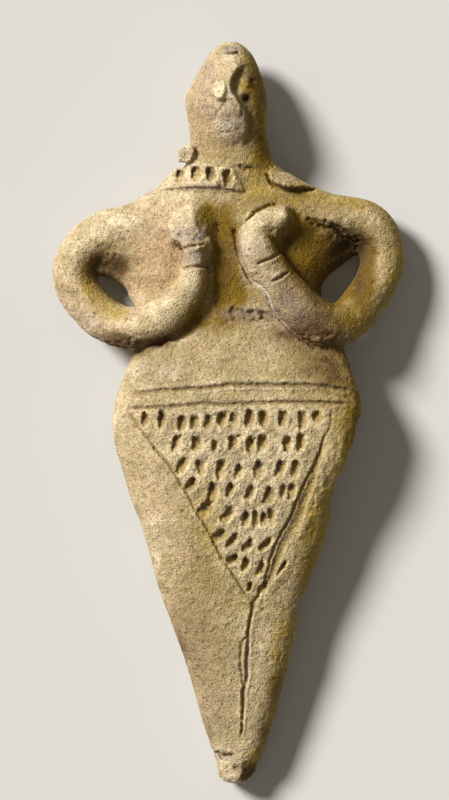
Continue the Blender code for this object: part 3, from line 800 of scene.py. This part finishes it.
def chip_edges(flat, lumpy):
    """Knocks the chips off the outline."""
    for px, py, facing, reach in CHIPS:
        turn = math.radians(facing)
        out_x = math.cos(turn)
        out_y = math.sin(turn)
        beyond = (flat[:, 0] - px) * out_x + (flat[:, 1] - py) * out_y + CHIP_LUMPS * lumpy
        along = np.abs((flat[:, 1] - py) * out_x - (flat[:, 0] - px) * out_y)
        cut = np.clip(beyond, 0, CHIP_DEPTH) * (beyond < CHIP_RANGE)
        cut = cut * (1 - ease(0.6 * reach, reach, along))
        flat[:, 0] -= cut * out_x
        flat[:, 1] -= cut * out_y


def press_face(clay):
    """The hollow beside the nose, with a steep wall along the ridge, and the muzzle."""
    places, normals = read_mesh(clay)
    x, y = (places / MM).T[:2]
    away, side, along = line_distance(x, y, FACE_RIDGE)
    right = (side > 0) & (y > CHIN_HEIGHT) & (away < FACE_WIDTH)
    brow = np.exp(-((along - BROW_PLACE) / BROW_SPREAD) ** 2)
    depth = CHEEK_HOLLOW[0] + BROW_HOLLOW[0] * brow
    reach = CHEEK_HOLLOW[1] + BROW_HOLLOW[1] * brow
    fade = ease(0, 0.16, along) * ease(0, 0.16, 1 - along)
    sunk = np.where(right, depth * fade * ease(0, 0.7, away) * np.exp(-(away / reach) ** 2), 0)
    raised = np.where(side > 0, 0, MUZZLE_RISE * (1 - ease(0.2, 1.3, oval(x, y, MUZZLE))))
    places[:, 2] += (raised - sunk) * facing_front(normals) * MM
    write_mesh(clay, places)


def press_hollows(clay):
    """The hollows between the arms and the chest, and the slant at the broken tip."""
    places = read_mesh(clay)[0]
    x, y, z = (places / MM).T
    sunk = sink_ovals(np.zeros(len(x)), x, y, HOLLOWS)
    away, side, along = line_distance(x, y, ARM_CREASE)
    below = away * -side
    ends = ease(0, 0.3, along) * ease(0, 0.2, 1 - along)
    step = ease(-0.4, 1.2, below) * (1 - ease(*ARM_FADE, below)) * ends * (away < ARM_RANGE)
    sunk = sunk + ARM_STEP * step
    places[:, 2] -= sunk * np.clip(z / HOLLOW_WALL, 0, 1) * MM
    write_mesh(clay, places)


def chest_step(flat, lumpy, ragged):
    """How far the belly lies under the torn edge in which the chest clay stops."""
    x, y, z = flat.T
    away, side, along = line_distance(x, y, CHEST_EDGE)
    torn = away * np.where(side > 0, 1, -1) + EDGE_LUMPS * lumpy + EDGE_FRAY * ragged
    step = ease(-0.3, 0.5, torn) * (1 - ease(*CHEST_FADE, torn)) * ease(0, 0.12, along)
    return CHEST_STEP * step * (away < CHEST_RANGE) * (z < CHEST_FRONT)


def sculpt(clay):
    """Works the fine forms into the skin: the torn step, tool marks, dents, chips and grit."""
    places, normals = read_mesh(clay)
    flat = places / MM
    x, y = flat.T[:2].copy()
    front = facing_front(normals)
    ragged = grain(flat, RAGGED)
    lumpy = grain(flat, LUMPY)

    sunk = chest_step(flat, lumpy, ragged)
    for crease in CREASES:
        sunk = sunk + scratch(x, y, ragged, *crease)
    sunk = sunk + scratch(x, y, ragged + EDGE_LUMPS * lumpy, TORN_EDGE, *TORN_SHAPE)
    away = line_distance(x, y, REPAIR_LINE)[0] + REPAIR_FRAY * ragged
    sunk = sunk + REPAIR_DEPTH * np.clip(1 - (2 * away / REPAIR_WIDTH) ** 2, 0, 1)
    sunk = sink_ovals(sunk, x, y, DENTS) + marks(flat)
    flat[:, 2] -= sunk * front
    crown = oval(x, y, CROWN_LUMP)
    flat[:, 2] += CROWN_RISE * (1 - ease(0.3, 1.6, crown)) * front

    chip_edges(flat, lumpy)
    worked = grain(flat, PALM_WAVES) + grain(flat, FINGER_WAVES) + WORKED_LUMPS * lumpy
    torn = spots(x, y, ROUGH_SPOTS) * (grain(flat, TORN_LUMPS) + TORN_RAGGED * ragged)
    torn = torn + CRUMB_RISE * spots(x, y, CRUMBLED) * grain(flat, CRUMBS)
    calm = 1 - 0.8 * on_eye(x, y)
    flat += normals * (worked + (torn + grain(flat, GRIT)) * calm)[:, None]
    write_mesh(clay, flat * MM)


def pit(clay):
    """Small pits and stuck grains of sand, scattered over the skin."""
    places, normals = read_mesh(clay)
    rng = np.random.default_rng(SEED + 1)
    tree = kdtree.KDTree(len(places))
    for i, place in enumerate(places):
        tree.insert(place, i)
    tree.balance()
    moved = np.zeros(len(places))
    for centre in rng.integers(0, len(places), PITS):
        reach = rng.uniform(*PIT_REACH) * MM
        depth = rng.choice(PIT_DEPTHS) * MM * rng.uniform(*PIT_SPREAD)
        for _, index, away in tree.find_range(places[centre], reach):
            moved[index] -= depth * (1 - (away / reach) ** 2) ** 2
    places += normals * moved[:, None]
    write_mesh(clay, places)


def thin_out(clay):
    """Fewer triangles, most of them kept for the front."""
    normals = read_mesh(clay)[1]
    plain = 1 - FRONT_KEPT * ease(-0.2, 0.4, normals[:, 2])
    group = clay.vertex_groups.new(name="plain")
    levels = np.round(plain * THIN_LEVELS).astype(int)
    for level in range(THIN_LEVELS + 1):
        members = np.flatnonzero(levels == level)
        group.add(members.tolist(), level / THIN_LEVELS, "REPLACE")
    clay.data.calc_loop_triangles()
    thin = clay.modifiers.new("thin", "DECIMATE")
    thin.ratio = FINE_TRIANGLES / len(clay.data.loop_triangles)
    thin.vertex_group = "plain"
    apply_modifiers(clay)
    clay.vertex_groups.clear()


def press_back_flat(clay):
    """The back pressed flat on the table, as the solid's is."""
    start_editing(clay)
    bpy.ops.mesh.bisect(
        plane_co=(0, 0, LOW[2]),
        plane_no=(0, 0, 1),
        use_fill=True,
        clear_inner=True,
        threshold=PLANE_REACH,
    )
    bpy.ops.mesh.select_all(action="SELECT")
    bpy.ops.mesh.quads_convert_to_tris()
    stop_editing()
    bpy.ops.object.shade_smooth()


def make_figurine():
    """The figure in wet clay: the rough form, what is stuck on it, then the fine work."""
    parts = [
        rough_out_body(),
        roll_coil("left_arm", LEFT_ARM),
        roll_coil("right_arm", RIGHT_ARM),
        roll_coil("left_hand", LEFT_HAND),
        roll_coil("right_hand", RIGHT_HAND),
        press_lump("left_finger", LEFT_FINGER),
        press_lump("left_breast", LEFT_BREAST),
        press_lump("right_breast", RIGHT_BREAST),
    ]
    clay = fuse(parts, ROUGH_SKIN, ROUGH_ROUNDS)
    press_face(clay)
    press_hollows(clay)
    height = front_height(clay)
    applied = [
        clay,
        press_lump("left_stub", LEFT_STUB),
        press_lump("right_stub", on_skin(RIGHT_STUB, height)),
        press_pellet("left_eye", height, LEFT_EYE),
        press_pellet("right_eye", height, RIGHT_EYE),
        lay_necklace(height),
    ]
    clay = fuse(applied, SKIN, SKIN_ROUNDS)
    sculpt(clay)
    pit(clay)
    thin_out(clay)
    press_back_flat(clay)
    return clay


# Stains in the clay, partly painted shade and light: x, y, half width, half height, strength.
# Ochre stain, partly painted shade: dark ochre on the chest between the hands, in the hollows by the
# right gap and on the right cheek, where shadow falls.
OCHRE_AND_SHADE_SPOTS = (
    (-0.8, 41, 3, 12, 3), (0.6, 31, 5, 5.6, 1.6), (-5.6, 53.4, 3, 4.6, 1), (21, 44, 7, 8, 2),
    (28, 37, 8, 9, 2.4), (35.6, 36, 3.6, 8, 2.4), (36.8, 43.6, 3, 4, 1.8), (8, 86, 3.4, 6.6, 1.4),
    (8.2, 76, 3, 5, 0.5), (8.8, 69, 3, 6, 0.9), (-5, 24.6, 7, 3.6, 0.9), (30, 25, 4, 3, 0.7),
    (33.4, -1, 4, 9, 0.8), (19, -38, 6, 16, 0.15), (6.6, -98.2, 2.8, 2.6, 2),
)
# Yellow stain, partly painted light: yellow lightens the shadowed right cheek, and down the right side it
# is painted shade.
YELLOW_AND_LIGHT_SPOTS = (
    (24, 40, 7, 7, 0.8), (4.8, 87.8, 1.8, 1.6, 2), (7.8, 80.6, 3.4, 6.4, 2), (-33.8, 29.6, 3.2, 4, 2),
    (-29.6, 26.8, 3.6, 2.2, 1.2), (-37.4, 35.4, 2.4, 5, 1.6), (36, 36, 3.4, 10, 1), (33, 25, 7, 4, 1.2),
    (43.6, 36, 3, 12, 0.6), (33, 57, 14, 3.4, 0.9), (15, 58, 13, 3, 1), (8, 63, 4, 8, 1.2),
    (6.6, 95, 3, 4, 0.8), (28, 12, 7, 9, 0.9), (34, -4, 6, 18, 1.1), (24, -34, 5, 20, 1),
    (14, -76, 4, 24, 1.1), (-6, 27, 9, 4, 0.6), (7, -93.4, 2.6, 2.6, 1.2), (-6, -30, 4, 14, 0.5),
)
PINK_SPOTS = (
    (4.8, 43.6, 3, 4.4, 0.8), (2, 76, 4, 5, 0.6), (-6, 84, 6, 12, 1), (-4, 76, 6, 6, 0.7),
    (-18, 40, 9, 13, 1.3), (-22, 52, 14, 6, 0.7), (-24, 30, 4, 6, 1.2), (-42, 31, 5, 12, 0.9),
    (-32, 22, 10, 4, 0.7), (18, 30, 7, 9, 1.4), (-14, -60, 9, 22, 0.6), (-26, -2, 6, 12, 0.4),
    (2, -97, 7, 4, 1.2), (-22, -20, 9, 12, 0.6), (40, 38, 2, 7, 1), (30, 54, 10, 3, 0.5),
    (4, -6, 20, 6, 0.3),
)
GREY_SPOTS = (
    (-10.8, 47.4, 5.4, 2.6, 1.5), (-9.4, 41.6, 3.8, 2.4, 1.3), (6, 43.4, 4, 4, 0.8),
    (11.6, 36, 3.4, 2.6, 0.6), (17, 28, 6, 6, 0.4), (0.6, 97.6, 2.2, 0.9, 1.6), (-8, 60.4, 12, 0.9, 0.9),
    (-11, 69.4, 3, 3, 0.4), (-6.4, 84, 5, 9, 0.4), (-0.6, 80.6, 3, 2.4, 0.6), (1, 77.4, 4.6, 4.6, 0.9),
    (0.4, 85.6, 1.2, 2.6, 0.6), (5, 26.6, 7, 1.8, 0.8), (-6, 92, 4, 4, 0.7), (-38, 24, 6, 5, 0.6),
    (-20, 11, 8, 5, 0.5), (4.6, -67, 1, 7, 1.4), (-2, -93.4, 4, 0.8, 1.6),
)
# Brown dirt, partly painted shade: the spots under the forearms, round the right gap, on the right belly
# and in the tip's recess darken places in shadow.
BROWN_AND_SHADE_SPOTS = (
    (-33, 39.4, 6, 3.2, 1.8), (-30.6, 38.6, 3, 2.2, 1.6), (-31.6, 19.2, 4, 2.2, 2.4),
    (-26.6, 17, 5, 2.2, 2.6), (-19, 19, 6, 2.4, 1), (-12, 22.6, 8, 2.4, 0.6), (30, 48, 9, 2.6, 0.5),
    (36, 42.6, 3.4, 4, 0.7), (25, 19.4, 9, 3.6, 1), (15.6, 30, 6, 6, 0.6), (22.6, 23, 7, 5, 1.8),
    (16, 20.6, 6, 2, 1.2), (5.6, 25.8, 6.8, 2, 1.3), (26, 12, 8, 7, 1.1), (29, 55, 8, 4, 0.25),
    (16.5, 58, 5, 2.6, 0.25), (-36, 30, 2.6, 3, 0.2), (3.6, 80.6, 2.2, 3, 0.5), (35, 35.6, 3, 8, 0.7),
    (38, 41, 1.6, 6, 0.6), (-12, -64, 9, 14, 0.65), (-5, -84, 6, 10, 0.5), (9, 56.6, 5, 1.6, 0.6),
    (5.6, 66, 3, 1, 0.8), (27.2, 50.2, 3.8, 1.4, 0.8), (32.4, 48.2, 3.8, 1.6, 0.8),
    (35.8, 45, 1.8, 2.6, 1.4), (31.8, 41.4, 3.2, 2.6, 1.4), (28.4, 39.6, 3.4, 5.4, 0.6),
    (33.2, 44.6, 3.6, 3, 1), (24.8, 33.4, 2.2, 3, 1), (6.6, -98.4, 2.6, 2.6, 2.4), (12.6, -75, 3, 7, 0.5),
    (9, -86, 3, 6, 0.6), (23.6, 34.6, 5, 5, 0.2), (-0.6, 40, 3.4, 13, 0.45), (-0.8, 97.8, 1, 0.7, 1.2),
    (0.8, 96.4, 2.2, 0.5, 1.4), (16, 45, 4, 4, 0.3),
)
# Painted shade, near black: the crease under the right shoulder, the hollows round the gaps, the tip's
# recess and the hollow beside the nose.
PAINTED_SHADE_SPOTS = (
    (27.2, 50, 3.8, 1.2, 0.7), (32, 48.2, 3.6, 1.4, 0.9), (37.4, 34, 1.6, 6, 0.25),
    (6.8, -98.4, 2.4, 2.2, 1.4), (33, 44.8, 3.4, 2.6, 2.4), (29.4, 41.2, 2.8, 4.4, 1.5),
    (26.4, 35.4, 1.8, 3, 0.8), (34.6, 36, 2.4, 7, 0.5), (-30.4, 38.8, 2.4, 1.4, 0.9),
    (-34.6, 39.6, 2, 1.6, 0.7), (24, 22.6, 4, 3, 0.25), (4.6, 90.4, 2.2, 2, 0.8),
    (7, 89.2, 1.4, 1.4, 0.7), (5.2, 83.8, 1.6, 1.8, 0.9), (5.4, 80, 0.9, 2.6, 0.7),
    (5.8, 76.4, 0.9, 2, 0.5), (8.6, 74.6, 1.2, 2, 0.4), (9, 85, 1, 2.4, 0.4), (-28, 17.6, 5, 1, 0.7),
    (16.6, 47, 2.6, 3, 0.5),
)
PALE_SPOTS = (
    (40.4, 37.6, 1.8, 7, 0.3), (-8, 63.6, 12, 3.2, 1), (-12.6, 52.6, 3.6, 4, 0.7),
    (11, 52.6, 5, 2.6, 0.9), (-26, 52, 13, 6, 0.7), (-41, 41, 5, 12, 0.35), (-38, 24, 8, 6, 0.35),
    (-18, 27.6, 12, 4.6, 1.2), (-9.6, 34, 4, 5, 0.8), (-29, -2, 4, 12, 0.3), (-20, -36, 6, 20, 0.3),
    (2, -12, 22, 12, 0.8), (4, -36, 8, 12, 0.3), (-18, 10, 14, 5, 0.4), (1, -96, 5.4, 4, 2.4),
    (10.6, -64, 4, 12, 0.6), (5.8, 45.4, 4, 4.4, 1.1), (-0.2, 77.4, 4.6, 4.6, 0.7), (-11, 69.4, 3, 3, 1),
    (1.6, 94.6, 3.6, 3.4, 1.2), (14, 62.4, 3.6, 1.2, 1), (-8, 57.8, 12, 2.2, 1.3), (17, -58, 4, 24, 0.6),
    (24, -14, 4, 10, 0.4),
)
# These spots lie on the front only, by the names of their stains, and of painted shade and light, on the
# skin.
STAIN_SPOTS = {
    "ochre_stain_and_painted_shade": OCHRE_AND_SHADE_SPOTS,
    "yellow_stain_and_painted_light": YELLOW_AND_LIGHT_SPOTS,
    "pink_stain": PINK_SPOTS,
    "grey_crust": GREY_SPOTS,
    "brown_dirt_and_painted_shade": BROWN_AND_SHADE_SPOTS,
    "pale_wear": PALE_SPOTS,
}
# Rounds of smoothing that find the hollows, and what a place keeps of itself in each.
LEVEL_ROUNDS = 36
LEVEL_KEPT = 0.35
# Dark dirt and painted shade lie on the upper left wall of a mark, the side turned from the key light,
# where the marks moved this far are still deep; painted shade darkens the whole mark a little.
WALL_SHIFT = (0.35, -0.75, 0)
WALL_DIRT_AND_SHADE = 0.7
MARK_FLOOR_SHADE = 0.06
# Painted light and shade: yellow in the marks for their lit floors, ochre in hollows, partly the clay's
# own stain, and yellow and ochre on what faces right, away from the key light.
MARK_PAINTED_LIGHT = 0.55
SHADE_OCHRE_SHARE = 0.6
# Thin broken lines of dirt and painted shade in the belt grooves, and of filler: how far they fray, and
# their width.
BELT_LINE = (0.25, 0.5)
BELT_DIRT_AND_SHADE = 0.6
FILLER_LINE = (0.15, 0.25)
# The filler's lower and upper end, along y.
FILLER_FOOT = (20, 30)
FILLER_TOP = (34, 37)


def hollowness(clay):
    """How far each place sits below the skin smoothed over, in millimetres."""
    places, normals = read_mesh(clay)
    count = len(places)
    edges = np.empty(len(clay.data.edges) * 2, np.int64)
    clay.data.edges.foreach_get("vertices", edges)
    one, two = edges.reshape(-1, 2).T
    joined = np.bincount(one, minlength=count) + np.bincount(two, minlength=count)
    level = places.copy()
    for _ in range(LEVEL_ROUNDS):
        total = np.zeros_like(level)
        for axis in range(3):
            values = level[:, axis]
            total[:, axis] = np.bincount(one, values[two], count) + np.bincount(two, values[one], count)
        level = LEVEL_KEPT * level + (1 - LEVEL_KEPT) * total / joined[:, None]
    return np.sum((level - places) * normals, axis=1) / MM


def broken_line(x, y, ragged, points, fray, width):
    """Cover of what lies in a thin line and is worn away in places."""
    away = line_distance(x, y, points)[0] + fray * ragged
    return np.exp(-(away / width) ** 2) * np.clip(0.7 + 0.6 * ragged, 0, 1)


def stain(clay):
    """Keeps on the skin how far each stain, deposit and patch of painted shade and light covers it."""
    places, normals = read_mesh(clay)
    flat = places / MM
    x, y, z = flat.T
    up = normals[:, 2]
    front = ease(-0.3, 0.3, up) * ease(1, 9, z)
    shaded_side = np.clip(normals[:, 0] - 0.2, 0, 1) * ease(-0.1, 0.35, up)
    ragged = grain(flat, RAGGED)
    drift = grain(flat, STAIN_DRIFT) + grain(flat, STAIN_FRAY)
    hollow = hollowness(clay)
    sunk = np.clip(marks(flat) * ease(0.0, 0.4, up), 0, 1)
    walls = np.clip(marks(flat + WALL_SHIFT), 0, 1) * ease(-0.1, 0.4, ragged)
    belts = [broken_line(x, y, ragged, line, *BELT_LINE) for line in (BELT_TOP, BELT_FOOT)]
    filler = broken_line(x, y, ragged, REPAIR_LINE, *FILLER_LINE)

    covers = {name: spots(x, y, ovals, drift) * front for name, ovals in STAIN_SPOTS.items()}
    # Painted shade: ochre in hollows, partly a real ochre stain there, and ochre and yellow on sides
    # turned from the key light; yellow on the mark floors is painted light.
    covers["ochre_stain_and_painted_shade"] += SHADE_OCHRE_SHARE * (np.clip(hollow, 0, 0.4) + shaded_side)
    covers["yellow_stain_and_painted_light"] += shaded_side + MARK_PAINTED_LIGHT * sunk
    covers["pale_wear"] += np.clip(-2.0 * hollow, 0, 0.6)
    covers["painted_deep_shade"] = spots(x, y, PAINTED_SHADE_SPOTS, drift + 0.3 * ragged) * ease(0.0, 0.5, up)
    # Painted shade and dark dirt in the marks, most on their upper left walls, and along the belt
    # grooves.
    covers["mark_dirt_and_shade"] = MARK_FLOOR_SHADE * sunk + WALL_DIRT_AND_SHADE * walls + BELT_DIRT_AND_SHADE * np.maximum(*belts)
    covers["white_filler"] = filler * ease(*FILLER_FOOT, y) * (1 - ease(*FILLER_TOP, y)) * front
    covers["pale_pellet"] = on_eye(x, y) * front
    for name, cover in covers.items():
        kept = clay.data.attributes.new(name, "FLOAT", "POINT")
        kept.data.foreach_set("value", np.clip(cover, 0, 1).astype(np.float32))


def feed(tree, socket, value):
    """Links an output into the socket, or sets the socket to a plain value."""
    if isinstance(value, bpy.types.NodeSocket):
        tree.links.new(value, socket)
    else:
        socket.default_value = value


def add_node(tree, kind, inputs, **settings):
    """Adds a node, feeds its inputs and gives its outputs."""
    node = tree.nodes.new(kind)
    for name, value in settings.items():
        setattr(node, name, value)
    for name, value in inputs.items():
        feed(tree, node.inputs[name], value)
    return node.outputs


def blend(tree, under, over, share):
    """The colour under with the colour over laid on as far as the share says."""
    return add_node(tree, "ShaderNodeMix", {0: share, 6: under, 7: over}, data_type="RGBA")[2]


def steps(tree, value, low, high, least=0.0, most=1.0):
    """The value eased so that low and high become least and most."""
    inputs = {"Value": value, "From Min": low, "From Max": high, "To Min": least, "To Max": most}
    return add_node(tree, "ShaderNodeMapRange", inputs, interpolation_type="SMOOTHSTEP")[0]


def times(tree, one, two):
    return add_node(tree, "ShaderNodeMath", {0: one, 1: two}, operation="MULTIPLY")[0]


def plus(tree, one, two):
    return add_node(tree, "ShaderNodeMath", {0: one, 1: two}, operation="ADD")[0]


def noise(tree, place, pattern):
    """Noise by its size, detail and roughness."""
    size, detail, roughness = pattern
    inputs = {"Vector": place, "Scale": 1 / (size * MM), "Detail": detail, "Roughness": roughness}
    return add_node(tree, "ShaderNodeTexNoise", inputs)[0]


def cells(tree, place, size):
    return add_node(tree, "ShaderNodeTexVoronoi", {"Vector": place, "Scale": 1 / (size * MM)})


def cover_of(tree, name):
    """How far the stain or deposit of that name covers the skin."""
    return add_node(tree, "ShaderNodeAttribute", {}, attribute_name=name)["Fac"]


# Colours of the clay, its grains, the dirt and painted shade in its marks, the painted shade in its pits
# and low grains, and the filler.
BUFF = (0.325, 0.25, 0.105, 1)
PALE_BUFF = (0.42, 0.335, 0.18, 1)
WARM_CLAY = (0.43, 0.31, 0.20, 1)
MARK_DIRT_AND_SHADE = (0.11, 0.08, 0.07, 1)
FRECKLE_BROWN = (0.19, 0.115, 0.045, 1)
PIT_SHADE_BROWN = (0.15, 0.09, 0.03, 1)
GRAIN_SHADE_BROWN = (0.20, 0.13, 0.045, 1)
FILLER_WHITE = (0.74, 0.72, 0.69, 1)
# What lies on it, stains and painted shade and light, the lowest first: its cover, its colour, its share
# in thin and full patches.
LAYERS = (
    ("pink_stain", (0.42, 0.27, 0.15, 1), 0.4, 1.1),
    ("pale_wear", (0.60, 0.50, 0.33, 1), 0.4, 1.1),
    ("yellow_stain_and_painted_light", (0.36, 0.25, 0.05, 1), 0.5, 1.2),
    ("ochre_stain_and_painted_shade", (0.18, 0.108, 0.005, 1), 0.95, 1.3),
    ("brown_dirt_and_painted_shade", (0.10, 0.055, 0.02, 1), 0.5, 1.3),
    ("grey_crust", (0.33, 0.27, 0.225, 1), 0.4, 1.0),
    ("painted_deep_shade", (0.05, 0.03, 0.009, 1), 0.85, 1.1),
    ("pale_pellet", (0.66, 0.56, 0.36, 1), 0.95, 1.0),
)
# Patterns in the clay: size, detail, roughness.
BROAD_TONES = (24, 4, 0.55)
CLOUDS = (8, 5, 0.6)
PATCHES = (4.4, 6, 0.62)
PIT_PATCHES = (3, 3, 0.55)
LOW_WAVES = (2.6, 2, 0.55)
FRECKLES = (1.5, 3, 0.55)
GRAINS = (0.55, 2, 0.7)
FINE_GRAINS = (0.3, 1, 0.6)
PIT_SIZE = 0.95
PIT_SHADE = 0.6
SAND_SIZE = 0.66
# How far the finest relief stands up, and each pattern's share of it.
RELIEF = 0.5
GRAINS_UP = 0.5
FINE_UP = 0.2
SAND_UP = 0.2
WAVES_UP = 1.2
PITS_DOWN = 0.9
# The clay's finish.
CLAY_ROUGHNESS = 0.92
CLAY_GLOSS = 0.25


def stained_colour(tree, broad, clouds, patches):
    """The clay's own tones, with the stains, deposits and painted shade and light laid over them."""
    colour = blend(tree, BUFF, PALE_BUFF, steps(tree, broad, 0.38, 0.62))
    colour = blend(tree, colour, WARM_CLAY, steps(tree, clouds, 0.50, 0.66, 0.0, 0.55))
    for name, layer, thin, full in LAYERS:
        laid = times(tree, cover_of(tree, name), steps(tree, patches, 0.3, 0.7, thin, full))
        colour = blend(tree, colour, layer, laid)
    return blend(tree, colour, MARK_DIRT_AND_SHADE, cover_of(tree, "mark_dirt_and_shade"))


def small_pits(tree, place, grains):
    """Pits with ragged edges, more of them in some patches."""
    pits = cells(tree, place, PIT_SIZE)
    patches = steps(tree, noise(tree, place, PIT_PATCHES), 0.4, 0.6, 0.35, 1.0)
    chosen = times(tree, steps(tree, pits["Color"], 0.45, 1.0), patches)
    edge = plus(tree, pits["Distance"], steps(tree, grains, 0.2, 0.8, -0.12, 0.12))
    return times(tree, steps(tree, edge, 0.1, 0.36, 1.0, 0.0), chosen)


def freckles(tree, place, clouds):
    """Brown specks, more of them where the clouds are."""
    specks = steps(tree, noise(tree, place, FRECKLES), 0.56, 0.68)
    return times(tree, specks, steps(tree, clouds, 0.45, 0.6, 0.15, 0.6))


def speckle(tree, patches, grains, fine, sand):
    """How much lighter or darker each patch and grain is."""
    tone = steps(tree, grains, 0.3, 0.7, 0.88, 1.16)
    tone = times(tree, tone, steps(tree, fine, 0.3, 0.7, 0.86, 1.14))
    tone = times(tree, tone, steps(tree, sand["Color"], 0.1, 0.9, 0.9, 1.1))
    return times(tree, tone, steps(tree, patches, 0.25, 0.75, 0.84, 1.16))


def fine_relief(tree, heights):
    """The bump of patterns that stand up by their shares."""
    relief = 0.0
    for pattern, share in heights:
        relief = plus(tree, relief, times(tree, pattern, share))
    return add_node(tree, "ShaderNodeBump", {"Height": relief, "Distance": RELIEF * MM})[0]


def clay_material():
    """Dull fired clay, with its stains, freckles, pits and grains, and painted shade in its pits and low
    grains.
    """
    clay = bpy.data.materials.new("fired_clay")
    clay.use_nodes = True
    tree = clay.node_tree
    shader = tree.nodes["Principled BSDF"]
    place = add_node(tree, "ShaderNodeTexCoord", {})["Object"]
    clouds = noise(tree, place, CLOUDS)
    patches = noise(tree, place, PATCHES)
    grains = noise(tree, place, GRAINS)
    fine = noise(tree, place, FINE_GRAINS)
    sand = cells(tree, place, SAND_SIZE)
    pits = small_pits(tree, place, grains)

    colour = stained_colour(tree, noise(tree, place, BROAD_TONES), clouds, patches)
    colour = blend(tree, colour, FRECKLE_BROWN, freckles(tree, place, clouds))
    # Painted shade: the pits are darkened brown.
    colour = blend(tree, colour, PIT_SHADE_BROWN, times(tree, pits, PIT_SHADE))
    # Painted shade: the low places of the grain relief are darkened brown.
    colour = blend(tree, colour, GRAIN_SHADE_BROWN, steps(tree, grains, 0.3, 0.48, 0.35, 0.0))
    tone = speckle(tree, patches, grains, fine, sand)
    colour = add_node(tree, "ShaderNodeVectorMath", {0: colour, "Scale": tone}, operation="SCALE")[0]
    colour = blend(tree, colour, FILLER_WHITE, cover_of(tree, "white_filler"))
    feed(tree, shader.inputs["Base Color"], colour)

    heights = (
        (grains, GRAINS_UP),
        (fine, FINE_UP),
        (steps(tree, sand["Distance"], 0.1, 0.6, 1.0, 0.0), SAND_UP),
        (noise(tree, place, LOW_WAVES), WAVES_UP),
        (pits, -PITS_DOWN),
    )
    feed(tree, shader.inputs["Normal"], fine_relief(tree, heights))
    shader.inputs["Roughness"].default_value = CLAY_ROUGHNESS
    shader.inputs["Specular IOR Level"].default_value = CLAY_GLOSS
    return clay


# Floor, lights and camera: the floor and the camera's distance in metres, the view in millimetres.
FLOOR_SIZE = 40
FLOOR_GREY = (0.56, 0.56, 0.56, 1)
FLOOR_ROUGHNESS = 0.95
KEY_PLACE = (-1, 0.74, 1.04)
KEY_SPREAD = 16
KEY_STRENGTH = 5.4
KEY_COLOUR = (1, 0.97, 0.92)
ROOM_LIGHT = (0.21, 0.195, 0.168, 1)
ROOM_SEEN = (0.72, 0.70, 0.66, 1)
CAMERA_DISTANCE = 1.08
SENSOR_WIDTH = 36
VIEW_MIDDLE = (-1.15, 3.17, 12)
VIEW_HEIGHT = 216


def add_floor():
    let_go()
    bpy.ops.mesh.primitive_plane_add(size=FLOOR_SIZE, location=(0, 0, LOW[2]))
    floor = bpy.context.object
    floor.name = "floor"
    pale = bpy.data.materials.new("pale_floor")
    pale.use_nodes = True
    shader = pale.node_tree.nodes["Principled BSDF"]
    shader.inputs["Base Color"].default_value = FLOOR_GREY
    shader.inputs["Roughness"].default_value = FLOOR_ROUGHNESS
    floor.data.materials.append(pale)


def add_lights():
    """A wide soft key light from the upper left, and a pale room round the figure."""
    let_go()
    bpy.ops.object.light_add(type="SUN", location=KEY_PLACE)
    key = bpy.context.object
    key.name = "key_light"
    key.rotation_euler = key.location.to_track_quat("Z", "Y").to_euler()
    key.data.angle = math.radians(KEY_SPREAD)
    key.data.energy = KEY_STRENGTH
    key.data.color = KEY_COLOUR
    world = bpy.data.worlds.new("studio")
    bpy.context.scene.world = world
    world.use_nodes = True
    seen = add_node(world.node_tree, "ShaderNodeLightPath", {})["Is Camera Ray"]
    room = blend(world.node_tree, ROOM_LIGHT, ROOM_SEEN, seen)
    feed(world.node_tree, world.node_tree.nodes["Background"].inputs["Color"], room)


def add_camera():
    """Straight down on the lying figure, as it is pictured."""
    x, y, z = VIEW_MIDDLE
    bpy.ops.object.camera_add(location=(x * MM, y * MM, CAMERA_DISTANCE + z * MM))
    camera = bpy.context.object
    camera.data.sensor_width = SENSOR_WIDTH
    camera.data.lens = SENSOR_WIDTH * CAMERA_DISTANCE / (VIEW_HEIGHT * MM)
    bpy.context.scene.camera = camera


figurine = make_figurine()
stain(figurine)
figurine.data.materials.clear()
figurine.data.materials.append(clay_material())
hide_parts("figurine")
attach(figurine, "root")
add_floor()
add_lights()
add_camera()
bpy.context.scene.view_settings.view_transform = "Standard"
